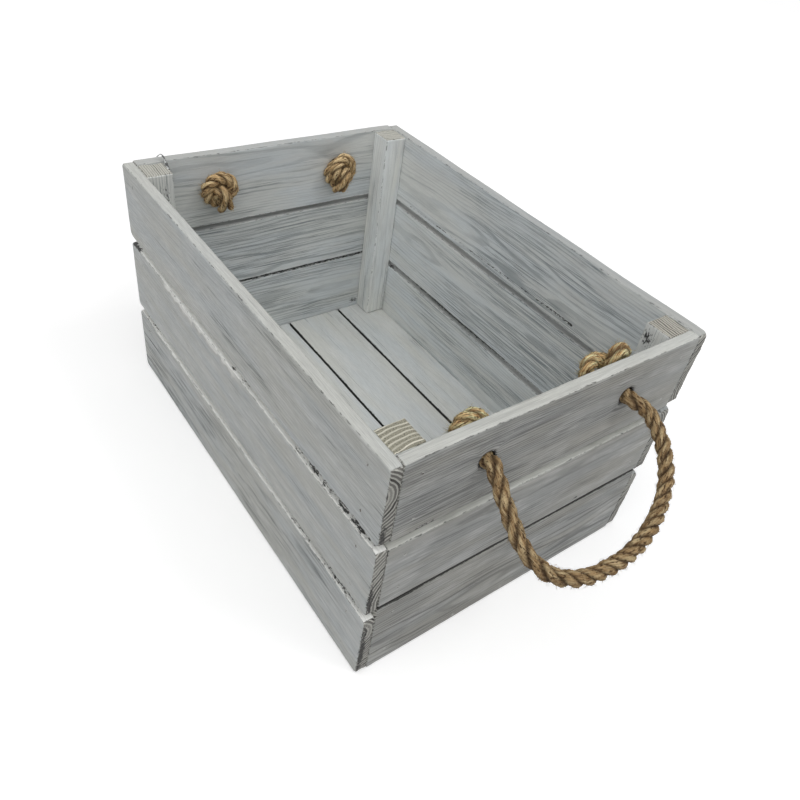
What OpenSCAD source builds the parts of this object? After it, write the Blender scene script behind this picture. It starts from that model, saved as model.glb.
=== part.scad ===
// Slatted wooden crate with four corner posts, a plank floor and two knotted rope handles.
// Millimetres, +Z up. The origin is on the ground under the middle of the crate, and +X runs along it.

/* [Crate] */
// Length over the side boards' ends
crate_l = 460; // [380:5:540]
// Width over the two side walls
crate_w = 326; // [270:2:390]

/* [Walls] */
// Width of the side boards and of the upper end boards: three boards and two gaps make the height
board_w = 78.5; // [68:0.5:92]
// Gap between two side boards
board_gap = 7.25; // [3:0.25:14]
// Thickness of a side board
side_t = 10.5; // [8:0.5:15]
// Thickness of an end board
end_t = 11; // [8:0.5:15]
// How much wider a lower end board is than a side board
end_lower_extra = 10; // [0:0.5:14]
// Gap over a lower end board
end_lower_gap = 2.5; // [1:0.5:6]
// Gap under the right end's upper board
right_upper_gap = 8.5; // [3:0.5:14]
// Gap under the left end's upper board
left_upper_gap = 5.5; // [3:0.5:14]
// Radius of the eased long edges of every wall board
edge_r = 2; // [0.5:0.5:3.5]
// Radius of the corners at a side board's ends
corner_r = 5; // [1:0.5:7]

/* [Floor] */
// Thickness of the floor boards
floor_t = 9; // [7:0.5:14]
// Width of the floor board in the middle
floor_centre_w = 41; // [34:1:50]
// Width of the floor boards on each side of it
floor_inner_w = 72; // [60:1:82]
// Gap between two floor boards
floor_gap = 2; // [1:0.5:5]
// Radius of the eased long edges of floor boards and posts
small_r = 1; // [0.5:0.25:2.5]

/* [Posts] */
// Side of a square corner post
post_w = 26; // [23:1:34]
// How far a post's top lies under the rim
post_drop = 1; // [0:0.5:8]

/* [Rope handles] */
// Diameter of the rope
rope_d = 12; // [9:0.5:14]
// Distance between a handle's two rope holes
grip_span = 150; // [120:5:170]
// Depth of the rope holes under the rim
hole_drop = 34; // [28:1:44]
// Room round the rope in its hole
hole_clear = 1; // [0.5:0.25:2]
// Radius of a knot's ring, at the rope's centre line
knot_ring_r = 14.5; // [12:0.5:17]
// Radius of a knot's crossing turns, at the rope's centre line
knot_turn_r = 14; // [12:0.5:15]
// Length of the rope's tail below the ring's middle
knot_tail = 12; // [8:1:20]
// How far the loops stand out from hanging straight down, in degrees
handle_tilt = 55; // [10:5:90]
// Room between a loop that hangs down and the boards
loop_clear = 1; // [0.5:0.25:3]

/* [Nails] */
// Diameter of a nail
nail_d = 1.6; // [1.2:0.1:2.2]
// Diameter of a nail's head
nail_head_d = 2.8; // [2.4:0.1:4]
// Thickness of a nail's head
nail_head_t = 1; // [0.5:0.1:1.5]
// Distance of the nails from a wall board's long edges
nail_inset = 16; // [12:1:20]
// How far a nail goes into the piece that it holds
nail_bite = 11; // [8:0.5:12]
// Distance between the nails that pass each other in a post
nail_pass = 6; // [4:0.5:8]

/* [Hidden] */
$fn = 48;

wash = [0.72, 0.73, 0.72];
wash_inside = [0.66, 0.69, 0.69];
post_wash = [0.78, 0.78, 0.74];
jute = [0.66, 0.49, 0.3];
steel = [0.35, 0.34, 0.33];

// Room between a nail and its hole, and between pieces of rope and wood that only just clear
nail_clear = 0.05;
seat_clear = 0.3;
// How far a cutting shape runs past the face that it cuts
over = 1;

crate_h = 3 * board_w + 2 * board_gap;
side_levels = [for (k = [0:2]) k * (board_w + board_gap)];
inner_l = crate_l - 2 * end_t;
inner_w = crate_w - 2 * side_t;

// An end's boards as [bottom, width]. The middle one fills what the others leave of the height.
end_lower_w = board_w + end_lower_extra;
end_middle_z = end_lower_w + end_lower_gap;
function end_boards(upper_gap) = [
    [0, end_lower_w],
    [end_middle_z, side_levels[2] - upper_gap - end_middle_z],
    [side_levels[2], board_w]
];
right_boards = end_boards(right_upper_gap);
left_boards = end_boards(left_upper_gap);

post_x = inner_l / 2 - post_w / 2;
post_y = inner_w / 2 - post_w / 2;
post_h = crate_h - floor_t - post_drop;

// The floor boards as [middle, width], from the front to the back
floor_outer_w = inner_w / 2 - floor_centre_w / 2 - floor_inner_w - 2 * floor_gap;
floor_inner_y = floor_centre_w / 2 + floor_gap + floor_inner_w / 2;
floor_outer_y = inner_w / 2 - floor_outer_w / 2;

rope_r = rope_d / 2;
hole_z = crate_h - hole_drop;
// The line that a loop swings about, just outside the holes
swing_x = crate_l / 2 + rope_r + loop_clear;
stub_out = swing_x - rope_r - seat_clear - inner_l / 2;

// Nails in a side wall stand over the posts' middles. Those in an end wall pass beside their points.
side_nail_x = post_x;
end_nail_y = inner_w / 2 - nail_bite - nail_pass;
post_nail_x = post_x - nail_pass;

// Route of the right handle's rope outside the holes: [y, distance from the swing line]
route_span = 150;
loop_route = [
    [-75, 0], [-77, 12], [-79, 24], [-80, 36], [-81, 48], [-80, 60], [-77, 71], [-71, 81],
    [-62, 89], [-50, 95], [-36, 99], [-20, 101], [-3, 101], [13, 99], [28, 95], [42, 89],
    [55, 81], [66, 72], [75, 62], [81, 50], [85, 38], [86, 25], [84, 12], [75, 0]
];
rope_sides = 10;

// ---- Shapes that repeat ----

module eased_rect(a, b, r) {
    square([a, b - 2 * r], center = true);
    square([a - 2 * r, b], center = true);
    for (x = [-1, 1], y = [-1, 1])
        translate([x * (a / 2 - r), y * (b / 2 - r)]) circle(r);
}

// A board along X that stands on its edge
module plank(length, t, w, r) {
    rotate([90, 0, 90])
        linear_extrude(length, center = true)
            translate([0, w / 2]) eased_rect(t, w, r);
}

// Sinks into +Z from the surface at z = 0
module nail(reach) {
    cylinder(h = nail_head_t, d = nail_head_d);
    cylinder(h = reach, d = nail_d);
}

module nail_hole(reach) {
    translate([0, 0, -over]) cylinder(h = over + nail_head_t + nail_clear, d = nail_head_d + 2 * nail_clear);
    cylinder(h = reach + nail_clear, d = nail_d + 2 * nail_clear);
}

// ---- Where the nails go: the children are placed with +Z into the wood ----

module at_side_nails(levels) {
    for (x = [-side_nail_x, side_nail_x], z0 = levels, z = [nail_inset, board_w - nail_inset])
        translate([x, -crate_w / 2, z0 + z]) rotate([-90, 0, 0]) children();
}

module at_end_nails(boards) {
    for (y = [-end_nail_y, end_nail_y], b = boards, z = [nail_inset, b[1] - nail_inset])
        translate([crate_l / 2, y, b[0] + z]) rotate([0, -90, 0]) children();
}

module at_floor_end_nails() {
    for (y = [-floor_inner_y, 0, floor_inner_y])
        translate([crate_l / 2, y, floor_t / 2]) rotate([0, -90, 0]) children();
}

module at_post_foot_nails() {
    for (x = [-post_nail_x, post_nail_x], y = [-end_nail_y, end_nail_y])
        translate([x, y, 0]) children();
}

// ---- Walls ----

// The front wall's board at a level, counted from the ground
module side_board(level) {
    color(wash)
    difference() {
        translate([0, side_t / 2 - crate_w / 2, side_levels[level]])
            intersection() {
                plank(crate_l + over, side_t, board_w, edge_r);
                rotate([90, 0, 0])
                    linear_extrude(side_t + over, center = true)
                        translate([0, board_w / 2])
                            eased_rect(crate_l, board_w, corner_r);
            }
        at_side_nails([side_levels[level]]) nail_hole(side_t + over);
    }
}

// The right end wall's board at a level, from a list of that end's boards
module end_board(boards, level) {
    board = boards[level];
    color(wash_inside)
    difference() {
        translate([crate_l / 2 - end_t / 2, 0, board[0]])
            rotate([0, 0, 90]) plank(inner_w, end_t, board[1], edge_r);
        at_end_nails([board]) nail_hole(end_t + over);
        if (level == 0)
            at_floor_end_nails() nail_hole(end_t + over);
        if (level == 2)
            for (y = [-grip_span / 2, grip_span / 2])
                translate([inner_l / 2 - over, y, hole_z])
                    rotate([0, 90, 0]) cylinder(h = end_t + 2 * over, r = rope_r + hole_clear);
    }
}

// The post in the front right corner: it stands on the floor boards
module post(boards) {
    color(post_wash)
    difference() {
        translate([post_x, -post_y, floor_t])
            linear_extrude(post_h) eased_rect(post_w, post_w, small_r);
        at_side_nails(side_levels) nail_hole(side_t + nail_bite);
        at_end_nails(boards) nail_hole(end_t + nail_bite);
        at_post_foot_nails() nail_hole(floor_t + nail_bite);
    }
}

// ---- Floor ----

module floor_board(y, w) {
    color(wash_inside)
    difference() {
        translate([0, y, floor_t / 2])
            rotate([90, 0, 90]) linear_extrude(inner_l, center = true) eased_rect(w, floor_t, small_r);
        at_post_foot_nails() nail_hole(floor_t + over);
        for (turn = [0, 180])
            rotate([0, 0, turn]) at_floor_end_nails() nail_hole(end_t + nail_bite);
    }
}

// ---- Rope handles ----

// One ring of the tube round a point of the route. side and out span the ring's plane.
function ring(centre, r, side, out) = [
    for (k = [0:rope_sides - 1])
        let (a = 360 * k / rope_sides) centre + r * (cos(a) * side + sin(a) * out)
];

function unit(v) = v / norm(v);
// A route point in space: the loop is flat and stands out from the swing line by the tilt
function route_point(p) =
    [swing_x + p[1] * sin(handle_tilt), p[0] * grip_span / route_span, hole_z - p[1] * cos(handle_tilt)];

// The right handle: one tube with round ends that sit on the swing line
module handle_loop() {
    line = [for (p = loop_route) route_point(p)];
    last = len(line) - 1;
    heading = [for (i = [0:last]) unit(line[min(i + 1, last)] - line[max(i - 1, 0)])];
    // The plane of the loop faces this way
    out = [cos(handle_tilt), 0, sin(handle_tilt)];
    // A round end is two smaller rings before the first point, and two after the last, at these angles
    end_rings = [[0, -70], [0, -35], for (i = [0:last]) [i, 0], [last, 35], [last, 70]];
    rings = [
        for (e = end_rings)
            let (i = e[0], shift = sin(e[1]) * rope_r, r = cos(e[1]) * rope_r)
                ring(line[i] + shift * heading[i], r, cross(out, heading[i]), out)
    ];
    n = rope_sides;
    count = len(rings);
    points = [for (loop = rings) each loop];
    walls = [for (i = [0:count - 2], k = [0:n - 1])
        let (a = i * n + k, b = i * n + (k + 1) % n) each [[a, a + n, b + n], [a, b + n, b]]];
    ends = [[for (k = [0:n - 1]) k], [for (k = [n - 1:-1:0]) (count - 1) * n + k]];
    color(jute) polyhedron(points, concat(walls, ends));
}

// A stopper knot and the rope through its hole, for the hole at +y in the right wall.
// A ring of rope lies round the hole, and two half turns cross over it.
module knot() {
    ring_x = rope_r + seat_clear;
    tail_r = rope_r - 0.5;
    color(jute)
    translate([inner_l / 2 - ring_x, grip_span / 2, hole_z]) {
        rotate([0, 90, 0]) cylinder(h = ring_x + stub_out, r = rope_r);
        rotate([0, 90, 0]) rotate_extrude() translate([knot_ring_r, 0]) circle(rope_r);
        for (turn = [0, 90])
            rotate([turn, 0, 0]) rotate([90, 0, 0]) rotate([0, 0, 90])
                rotate_extrude(angle = 180) translate([knot_turn_r, 0]) circle(rope_r);
        sphere(knot_turn_r - rope_r + 1);
        translate([-rope_r, 0, -knot_ring_r]) {
            rotate([180, 0, 0]) cylinder(h = knot_tail, r = tail_r);
            sphere(tail_r);
        }
    }
}

module mirrored_x() { mirror([1, 0, 0]) children(); }
module mirrored_y() { mirror([0, 1, 0]) children(); }

// ---- Nails ----

module side_nails() {
    color(steel) at_side_nails(side_levels) nail(side_t + nail_bite);
}

module end_nails(boards) {
    color(steel) {
        at_end_nails(boards) nail(end_t + nail_bite);
        at_floor_end_nails() nail(end_t + nail_bite);
    }
}

module floor_nails() {
    color(steel) at_post_foot_nails() nail(floor_t + nail_bite);
}

side_board(0);  // front_lower_board
side_board(1);  // front_middle_board
side_board(2);  // front_upper_board
mirrored_y() side_board(0);  // back_lower_board
mirrored_y() side_board(1);  // back_middle_board
mirrored_y() side_board(2);  // back_upper_board
end_board(right_boards, 0);  // right_lower_board
end_board(right_boards, 1);  // right_middle_board
end_board(right_boards, 2);  // right_upper_board
mirrored_x() end_board(left_boards, 0);  // left_lower_board
mirrored_x() end_board(left_boards, 1);  // left_middle_board
mirrored_x() end_board(left_boards, 2);  // left_upper_board
post(right_boards);  // front_right_post
mirrored_y() post(right_boards);  // back_right_post
mirrored_x() post(left_boards);  // front_left_post
mirrored_x() mirrored_y() post(left_boards);  // back_left_post
floor_board(-floor_outer_y, floor_outer_w);  // front_floor_board
floor_board(-floor_inner_y, floor_inner_w);  // front_inner_floor_board
floor_board(0, floor_centre_w);  // centre_floor_board
floor_board(floor_inner_y, floor_inner_w);  // back_inner_floor_board
floor_board(floor_outer_y, floor_outer_w);  // back_floor_board
handle_loop();  // right_handle_loop
mirrored_x() handle_loop();  // left_handle_loop
mirrored_y() knot();  // front_right_knot
knot();  // back_right_knot
mirrored_x() mirrored_y() knot();  // front_left_knot
mirrored_x() knot();  // back_left_knot
side_nails();  // front_nails
mirrored_y() side_nails();  // back_nails
end_nails(right_boards);  // right_nails
mirrored_x() end_nails(left_boards);  // left_nails
floor_nails();
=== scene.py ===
import math

import bpy
import numpy as np
from mathutils import Matrix, Vector
from mathutils.bvhtree import BVHTree


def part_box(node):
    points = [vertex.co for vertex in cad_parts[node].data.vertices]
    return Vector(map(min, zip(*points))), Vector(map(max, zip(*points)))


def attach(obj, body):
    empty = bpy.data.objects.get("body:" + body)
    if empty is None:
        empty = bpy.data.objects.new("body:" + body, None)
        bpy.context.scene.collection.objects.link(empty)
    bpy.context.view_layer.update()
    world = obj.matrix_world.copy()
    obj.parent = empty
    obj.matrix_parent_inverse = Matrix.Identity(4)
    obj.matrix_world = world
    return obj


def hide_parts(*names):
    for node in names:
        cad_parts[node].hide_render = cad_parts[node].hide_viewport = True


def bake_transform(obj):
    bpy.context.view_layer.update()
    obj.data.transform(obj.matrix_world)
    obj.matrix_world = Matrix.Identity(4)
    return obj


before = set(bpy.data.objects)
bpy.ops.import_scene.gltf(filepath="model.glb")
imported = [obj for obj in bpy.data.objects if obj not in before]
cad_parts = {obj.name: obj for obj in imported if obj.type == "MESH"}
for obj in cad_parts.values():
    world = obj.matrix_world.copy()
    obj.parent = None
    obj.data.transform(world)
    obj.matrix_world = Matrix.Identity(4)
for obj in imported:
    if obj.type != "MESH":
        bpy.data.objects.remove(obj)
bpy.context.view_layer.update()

mm = 0.001  # metres in a millimetre

# the camera, settled by the corners in the photo
photoSize = (800, 800)
cameraView = {
    "azimuth": 48.118,
    "elevation": 41.056,
    "roll": 9.8345,
    "target": (0.07177, -0.02421, 0.125),
    "distance": 0.68129,
    "lens": 32.524,
    "sensorWidth": 36.0,
    "shiftX": 0.0,
    "shiftY": 0.0,
}


def makeCamera(spec):
    turn = math.radians(spec["azimuth"])
    lift = math.radians(spec["elevation"])
    roll = math.radians(spec["roll"])
    back = Vector((math.sin(turn) * math.cos(lift), -math.cos(turn) * math.cos(lift), math.sin(lift)))
    level = Vector((math.cos(turn), math.sin(turn), 0))
    rise = back.cross(level)
    right = math.cos(roll) * level + math.sin(roll) * rise
    up = math.cos(roll) * rise - math.sin(roll) * level
    data = bpy.data.cameras.new("photoCamera")
    data.lens = spec["lens"]
    data.sensor_fit = "AUTO"
    data.sensor_width = spec["sensorWidth"]
    data.shift_x = spec["shiftX"]
    data.shift_y = spec["shiftY"]
    data.clip_start = 0.02
    data.clip_end = 20
    camera = bpy.data.objects.new("photoCamera", data)
    bpy.context.scene.collection.objects.link(camera)
    axes = Matrix((right, up, back)).transposed().to_4x4()
    axes.translation = Vector(spec["target"]) + spec["distance"] * back
    camera.matrix_world = axes
    bpy.context.scene.camera = camera
    return camera


camera = makeCamera(cameraView)

imagePoints = {  # x, y in the photo; one number where only that one counts
    "leftEdge": 121.5,
    "rightEdge": 709.5,
    "topEdge": 124.0,
    "bottomEdge": 671.5,
    "nearTop": (391, 472),
    "rightTop": (709.5, 333.5),
    "leftTop": (121.5, 162),
    "backTop": (394.5, 124),
    "rightBottom": (610.7, 524.5),
    "leftBottom": (146.6, 362.6),
    "frontHole": (487, 462),
    "backHole": (627, 394),
    "chipStart": (300, 450),
    "chipEnd": (368, 533),
    "farChipStart": (134, 240),
    "backSplit": (557.5, 318),
    "splinter": (163, 160),
    "woodKnot": (530, 500),
    "frontLeftKnot": (220, 193),
    "backLeftKnot": (340.5, 173.5),
}


def photoRay(x, y):
    width, height = photoSize
    longSide = max(width, height)
    data = camera.data
    seen = Vector((
        x - width / 2 + data.shift_x * longSide,
        height / 2 - y + data.shift_y * longSide,
        -longSide * data.lens / data.sensor_width,
    ))
    return camera.matrix_world.translation.copy(), (camera.matrix_world.to_3x3() @ seen).normalized()


def meshTree(*objects):
    points = []
    faces = []
    for item in objects:
        start = len(points)
        points += [item.matrix_world @ v.co for v in item.data.vertices]
        faces += [[start + i for i in p.vertices] for p in item.data.polygons]
    return BVHTree.FromPolygons(points, faces)


rayWalk = {"from": 0.3, "step": 0.002, "steps": 600}  # metres along a ray that meets nothing


def placeOnPhoto(pointName, *carriers):  # where the photo's point lies on what carries the piece
    origin, heading = photoRay(*imagePoints[pointName])
    tree = meshTree(*carriers)
    place, normal, index, distance = tree.ray_cast(origin, heading)
    if place is not None:
        return place, normal
    best = None
    for step in range(rayWalk["steps"]):  # a miss takes the place nearest the ray
        onRay = origin + heading * (rayWalk["from"] + rayWalk["step"] * step)
        near, normal, index, distance = tree.find_nearest(onRay)
        if best is None or distance < best[0]:
            best = (distance, near, normal)
    return best[1], best[2]


def photoSpots(points):  # pixels that these points show at
    width, height = photoSize
    data = camera.data
    axes = np.array(camera.matrix_world)
    seen = (np.asarray(points) - axes[:3, 3]) @ axes[:3, :3]
    zoom = max(width, height) * data.lens / data.sensor_width / -seen[:, 2]
    x = width / 2 + seen[:, 0] * zoom - data.shift_x * max(width, height)
    y = height / 2 - seen[:, 1] * zoom + data.shift_y * max(width, height)
    return np.stack([x, y], 1)


print("camera placed")


def meshObject(name, spots, faces, masks=None, vectors=None):
    mesh = bpy.data.meshes.new(name)
    mesh.from_pydata(np.asarray(spots, float).tolist(), [], [list(f) for f in faces])
    for key, values in (masks or {}).items():
        layer = mesh.attributes.new(key, "FLOAT", "POINT")
        layer.data.foreach_set("value", np.asarray(values, np.float32))
    for key, values in (vectors or {}).items():
        layer = mesh.attributes.new(key, "FLOAT_VECTOR", "POINT")
        layer.data.foreach_set("vector", np.asarray(values, np.float32).ravel())
    mesh.polygons.foreach_set("use_smooth", [True] * len(mesh.polygons))
    mesh.update()
    item = bpy.data.objects.new(name, mesh)
    bpy.context.scene.collection.objects.link(item)
    return item


def waveField(a, b, seed, waves=8):  # a smooth uneven field, about -1 to 1
    picks = np.random.default_rng(seed)
    total = 0
    for k in range(waves):
        turn = picks.uniform(0, math.tau)
        size = picks.uniform(0.5, 1.7) * math.tau
        wave = size * (a * math.cos(turn) + b * math.sin(turn))
        total = total + np.sin(wave + picks.uniform(0, math.tau))
    return total / math.sqrt(waves)


# rope handles and their knots, in millimetres
ropeLook = {
    "strandOffset": 3.25,  # from the rope's middle to a strand's middle
    "strandRadius": 3.05,
    "lay": 33.0,  # length of one full turn of the strands
    "ringPoints": 20,
    "yarns": 6,
    "yarnLay": 17.0,
    "yarnBulge": 0.1,
    "yarnShape": 0.7,  # below 1 makes a yarn flatter
    "roughness": 0.03,
    "step": 1.25,
    "unevenTurn": (0.12, 23),  # how much, and over what length
    "unevenOffset": (0.05, 14),
    "unevenRadius": (0.045, 9),
    "endRounding": 2.5,
    "endBlunt": 0.8,
    "endThinnest": 0.05,
    "endSwelling": 0.1,
    "splayLength": 16.0,  # how far from its end a tail opens
    "splayCurve": 1.6,
    "fibreSlant": 0.9,
    "strandApart": 20.0,  # gives each strand other fibres
    "hollowFrom": 0.75,  # where the painted shade between the strands starts, in radians from a strand's outermost line
    "hollowOver": 0.7,
}
fuzzLook = {  # the stray fibres
    "count": 3.4,  # for each millimetre of rope
    "thick": 0.15,
    "length": (2.0, 5.5),
    "reach": 8.6,  # the furthest from the rope's middle
    "knotReach": 10.2,
    "root": 0.85,  # where it starts, in strand radii
    "lean": 1.2,
    "along": (0.2, 1.2),
    "outward": (0.2, 1.0),
    "astray": 0.25,
    "bend": (0.3, 1.0),
    "parts": ((0, 1), (0.35, 0.9), (0.7, 0.7), (1, 0)),  # how far along, how much of the thickness
}
handleRoute = [  # from part.scad: along the wall, and away from the swing line
    (-75, 0), (-77, 12), (-79, 24), (-80, 36), (-81, 48), (-80, 60), (-77, 71), (-71, 81),
    (-62, 89), (-50, 95), (-36, 99), (-20, 101), (-3, 101), (13, 99), (28, 95), (42, 89),
    (55, 81), (66, 72), (75, 62), (81, 50), (85, 38), (86, 25), (84, 12), (75, 0),
]
handle = {
    "swingX": 237.0,
    "holeY": (-75, 75),
    "holeZ": 216.0,
    "holeRadius": 7.5,
    "tilt": 55.0,
    "startX": 221.5,  # inside the hole
    "beforeSwing": 4.5,  # from where the rope bends to the swing line
    "looseLay": 47.0,  # the strands lie more open on the front leg
    "looseUntil": 0.36,
    "layChange": 0.08,
}


def smoothLine(knots, step):
    knots = np.asarray(knots, float)
    ends = np.concatenate([2 * knots[:1] - knots[1:2], knots, 2 * knots[-1:] - knots[-2:-1]])
    t = np.linspace(0, 1, 24, endpoint=False)[:, None]
    fine = []
    for a, b, c, d in zip(ends, ends[1:], ends[2:], ends[3:]):
        bend = (c - a) * t + (2 * a - 5 * b + 4 * c - d) * t**2 + (3 * b - a - 3 * c + d) * t**3
        fine.append(b + 0.5 * bend)
    return evenLine(np.concatenate(fine + [knots[-1:]]), step)


def lineRun(line):
    return np.append(0, np.cumsum(np.linalg.norm(np.diff(line, axis=0), axis=1)))


def evenLine(line, step):
    run = lineRun(line)
    even = np.linspace(0, run[-1], max(2, round(run[-1] / step)) + 1)
    return np.stack([np.interp(even, run, line[:, k]) for k in range(3)], 1)


def unit(vectors):
    return vectors / np.maximum(np.linalg.norm(vectors, axis=-1, keepdims=True), 1e-9)


def lineFrames(line):
    heading = unit(np.gradient(line, axis=0))
    side = np.zeros_like(line)
    side[0] = unit(np.cross(heading[0], (0.1, 0.2, 1.0)))
    for i in range(1, len(line)):
        side[i] = unit(side[i - 1] - heading[i] * (side[i - 1] @ heading[i]))
    return heading, side, np.cross(heading, side)


def uneven(run, name, seed):
    amount, length = ropeLook[name]
    return amount * waveField(run / length, 0 * run, seed, 6)


def twistedRope(line, seed, lays, splay=0.0, ragged=0.0, front=None, fuzzy=1.0):
    look = ropeLook
    picks = np.random.default_rng(seed)
    heading, side, over = lineFrames(line)
    run = lineRun(line)
    lay = np.interp(run / run[-1], *lays)
    phase = np.append(0, np.cumsum(math.tau * np.diff(run) / lay[1:]))
    if front is not None:  # one strand of the frayed end lies in front
        phase += math.atan2(front @ over[-1], front @ side[-1]) - phase[-1]
    tail = np.clip((run - run[-1] + look["splayLength"]) / look["splayLength"], 0, 1) ** look["splayCurve"]
    count = look["ringPoints"]
    angle = -math.pi + math.tau * np.arange(count) / count
    spots = []
    faces = []
    marks = {"ropePos": [], "hollow": [], "yarn": [], "shade": []}
    strands = []
    for k in range(3):
        turn = phase + math.tau * k / 3 + uneven(run, "unevenTurn", seed + k)
        outward = np.cos(turn)[:, None] * side + np.sin(turn)[:, None] * over
        offset = look["strandOffset"] * (1 + uneven(run, "unevenOffset", seed + 5 + k)) + splay * tail
        cut = len(run) - int(round(ragged * picks.uniform(0, 1) / look["step"]))
        centre = (line + offset[:, None] * outward)[:cut]
        along = unit(np.gradient(centre, axis=0))
        first = unit(outward[:cut] - along * (outward[:cut] * along).sum(1, keepdims=True))
        second = np.cross(along, first)
        radius = look["strandRadius"] * (1 + uneven(run[:cut], "unevenRadius", seed + 9 + k))
        radius = radius * (1 + look["endSwelling"] * tail[:cut])
        nearEnd = np.clip(1 - (run[cut - 1] - run[:cut]) / look["endRounding"], 0, 1)
        radius = radius * np.sqrt(np.clip(1 - nearEnd**2 * look["endBlunt"], look["endThinnest"], 1))
        twist = -run[:cut, None] * math.tau / look["yarnLay"] + k
        lobes = np.abs(np.cos(0.5 * look["yarns"] * (angle[None] + twist)))
        lumps = picks.normal(0, 1, lobes.shape)
        lumps = lumps + np.roll(lumps, 1, 0) + np.roll(lumps, 1, 1)
        bulge = look["yarnBulge"]
        width = radius[:, None] * (1 - bulge + 2 * bulge * lobes**look["yarnShape"])
        width = width * (1 + look["roughness"] * lumps)
        ring = width[..., None] * (np.cos(angle)[None, :, None] * first[:, None]
                                   + np.sin(angle)[None, :, None] * second[:, None])
        start = len(spots)
        spots += list((centre[:, None] + ring).reshape(-1, 3)) + [centre[0], centre[-1]]
        ids = start + np.arange(cut * count).reshape(cut, count)
        after = np.roll(ids, -1, 1)
        faces += np.stack([ids[:-1], after[:-1], after[1:], ids[1:]], -1).reshape(-1, 4).tolist()
        faces += [[start + cut * count, b, a] for a, b in zip(ids[0], after[0])]
        faces += [[start + cut * count + 1, a, b] for a, b in zip(ids[-1], after[-1])]
        runs = np.repeat(run[:cut], count)
        around = np.tile(angle * look["strandRadius"], cut)
        slanted = around + runs * look["fibreSlant"]
        apart = np.full(len(runs), look["strandApart"] * k + seed)
        places = np.stack([runs, slanted, apart], 1).tolist()
        # painted shade on each strand's side towards the others
        deep = np.clip((np.abs(np.tile(angle, cut)) - look["hollowFrom"]) / look["hollowOver"], 0, 1)
        which = np.floor((angle[None] + twist) * look["yarns"] / math.tau + 0.5) % look["yarns"]
        tones = picks.uniform(0, 1, look["yarns"])[which.astype(int).ravel()]
        marks["ropePos"] += places + [places[0], places[-1]]
        marks["hollow"] += deep.tolist() + [1.0, 0.6]
        # painted shade between the yarns
        marks["yarn"] += (1 - lobes.ravel()).tolist() + [0.5, 0.5]
        marks["shade"] += tones.tolist() + [0.5, 0.5]
        strands.append((centre, along, first, second, radius))
    limit = fuzzLook["knotReach" if fuzzy > 1 else "reach"]
    for n in range(int(fuzzLook["count"] * fuzzy * run[-1])):
        addFibre(spots, faces, marks, line, strands[picks.integers(3)], limit, picks)
    places = np.array(marks.pop("ropePos")) * mm
    return np.array(spots) * mm, faces, marks, {"ropePos": places}


def addFibre(spots, faces, marks, line, strand, limit, picks):  # three-sided, curved and pointed
    look = fuzzLook
    centre, along, first, second, radius = strand
    i = int(picks.integers(2, len(centre) - 2))
    lean = picks.uniform(-look["lean"], look["lean"])
    outward = math.cos(lean) * first[i] + math.sin(lean) * second[i]
    across = np.cross(outward, along[i])
    way = picks.choice([-1, 1]) * along[i] * picks.uniform(*look["along"])
    way = unit(way + outward * picks.uniform(*look["outward"]) + picks.normal(0, look["astray"], 3))
    bend = unit(picks.normal(0, 1, 3)) * picks.uniform(*look["bend"])
    length = picks.uniform(*look["length"])
    root = centre[i] + outward * radius[i] * look["root"]
    start = len(spots)
    for part, thick in look["parts"]:
        place = root + length * (way * part + bend * part**2) - line[i]
        place = line[i] + place * min(1, limit / np.linalg.norm(place))
        for spin in range(3 if thick else 1):
            spin *= math.tau / 3
            spots.append(place + look["thick"] * thick * (math.cos(spin) * across + math.sin(spin) * outward))
    for k in range(3):
        after = (k + 1) % 3
        for ring in (0, 3):
            faces.append([start + ring + n for n in (k, after, 3 + after, 3 + k)])
        faces.append([start + 6 + k, start + 6 + after, start + 9])
    faces.append([start + 2, start + 1, start])
    for name, value in (("hollow", 0.0), ("yarn", 0.0), ("shade", 1.0)):
        marks[name] += [value] * 10
    marks["ropePos"] += [[i, 3.0 * k, 7.0] for k in range(10)]


def handleLine(sign):  # sign is 1 on the right end and -1 on the left
    tilt = math.radians(handle["tilt"])
    x0, z0 = handle["swingX"], handle["holeZ"]
    loop = [(x0 + v * math.sin(tilt), y, z0 - v * math.cos(tilt)) for y, v in handleRoute]
    inHole = np.linspace(handle["startX"], x0 - handle["beforeSwing"], 3)
    first = [(x, handleRoute[0][0], z0) for x in inHole]
    last = [(x, handleRoute[-1][0], z0) for x in inHole[::-1]]
    points = np.array(first + loop + last)
    points[:, 0] *= sign
    return smoothLine(points, ropeLook["step"])


def makeHandle(name, sign, seed):
    line = handleLine(sign)
    loose, until, change = handle["looseLay"], handle["looseUntil"], handle["layChange"]
    lays = ([0, until - change, until + change, 1], [loose, loose, ropeLook["lay"], ropeLook["lay"]])
    rope = meshObject(name, *twistedRope(line, seed, lays))
    side = "right" if sign > 0 else "left"
    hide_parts(side + "_handle_loop")
    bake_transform(rope)
    return rope


rightHandle = makeHandle("rightRopeHandle", 1, 71)
leftHandle = makeHandle("leftRopeHandle", -1, 83)
print("rope handles made")

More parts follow.
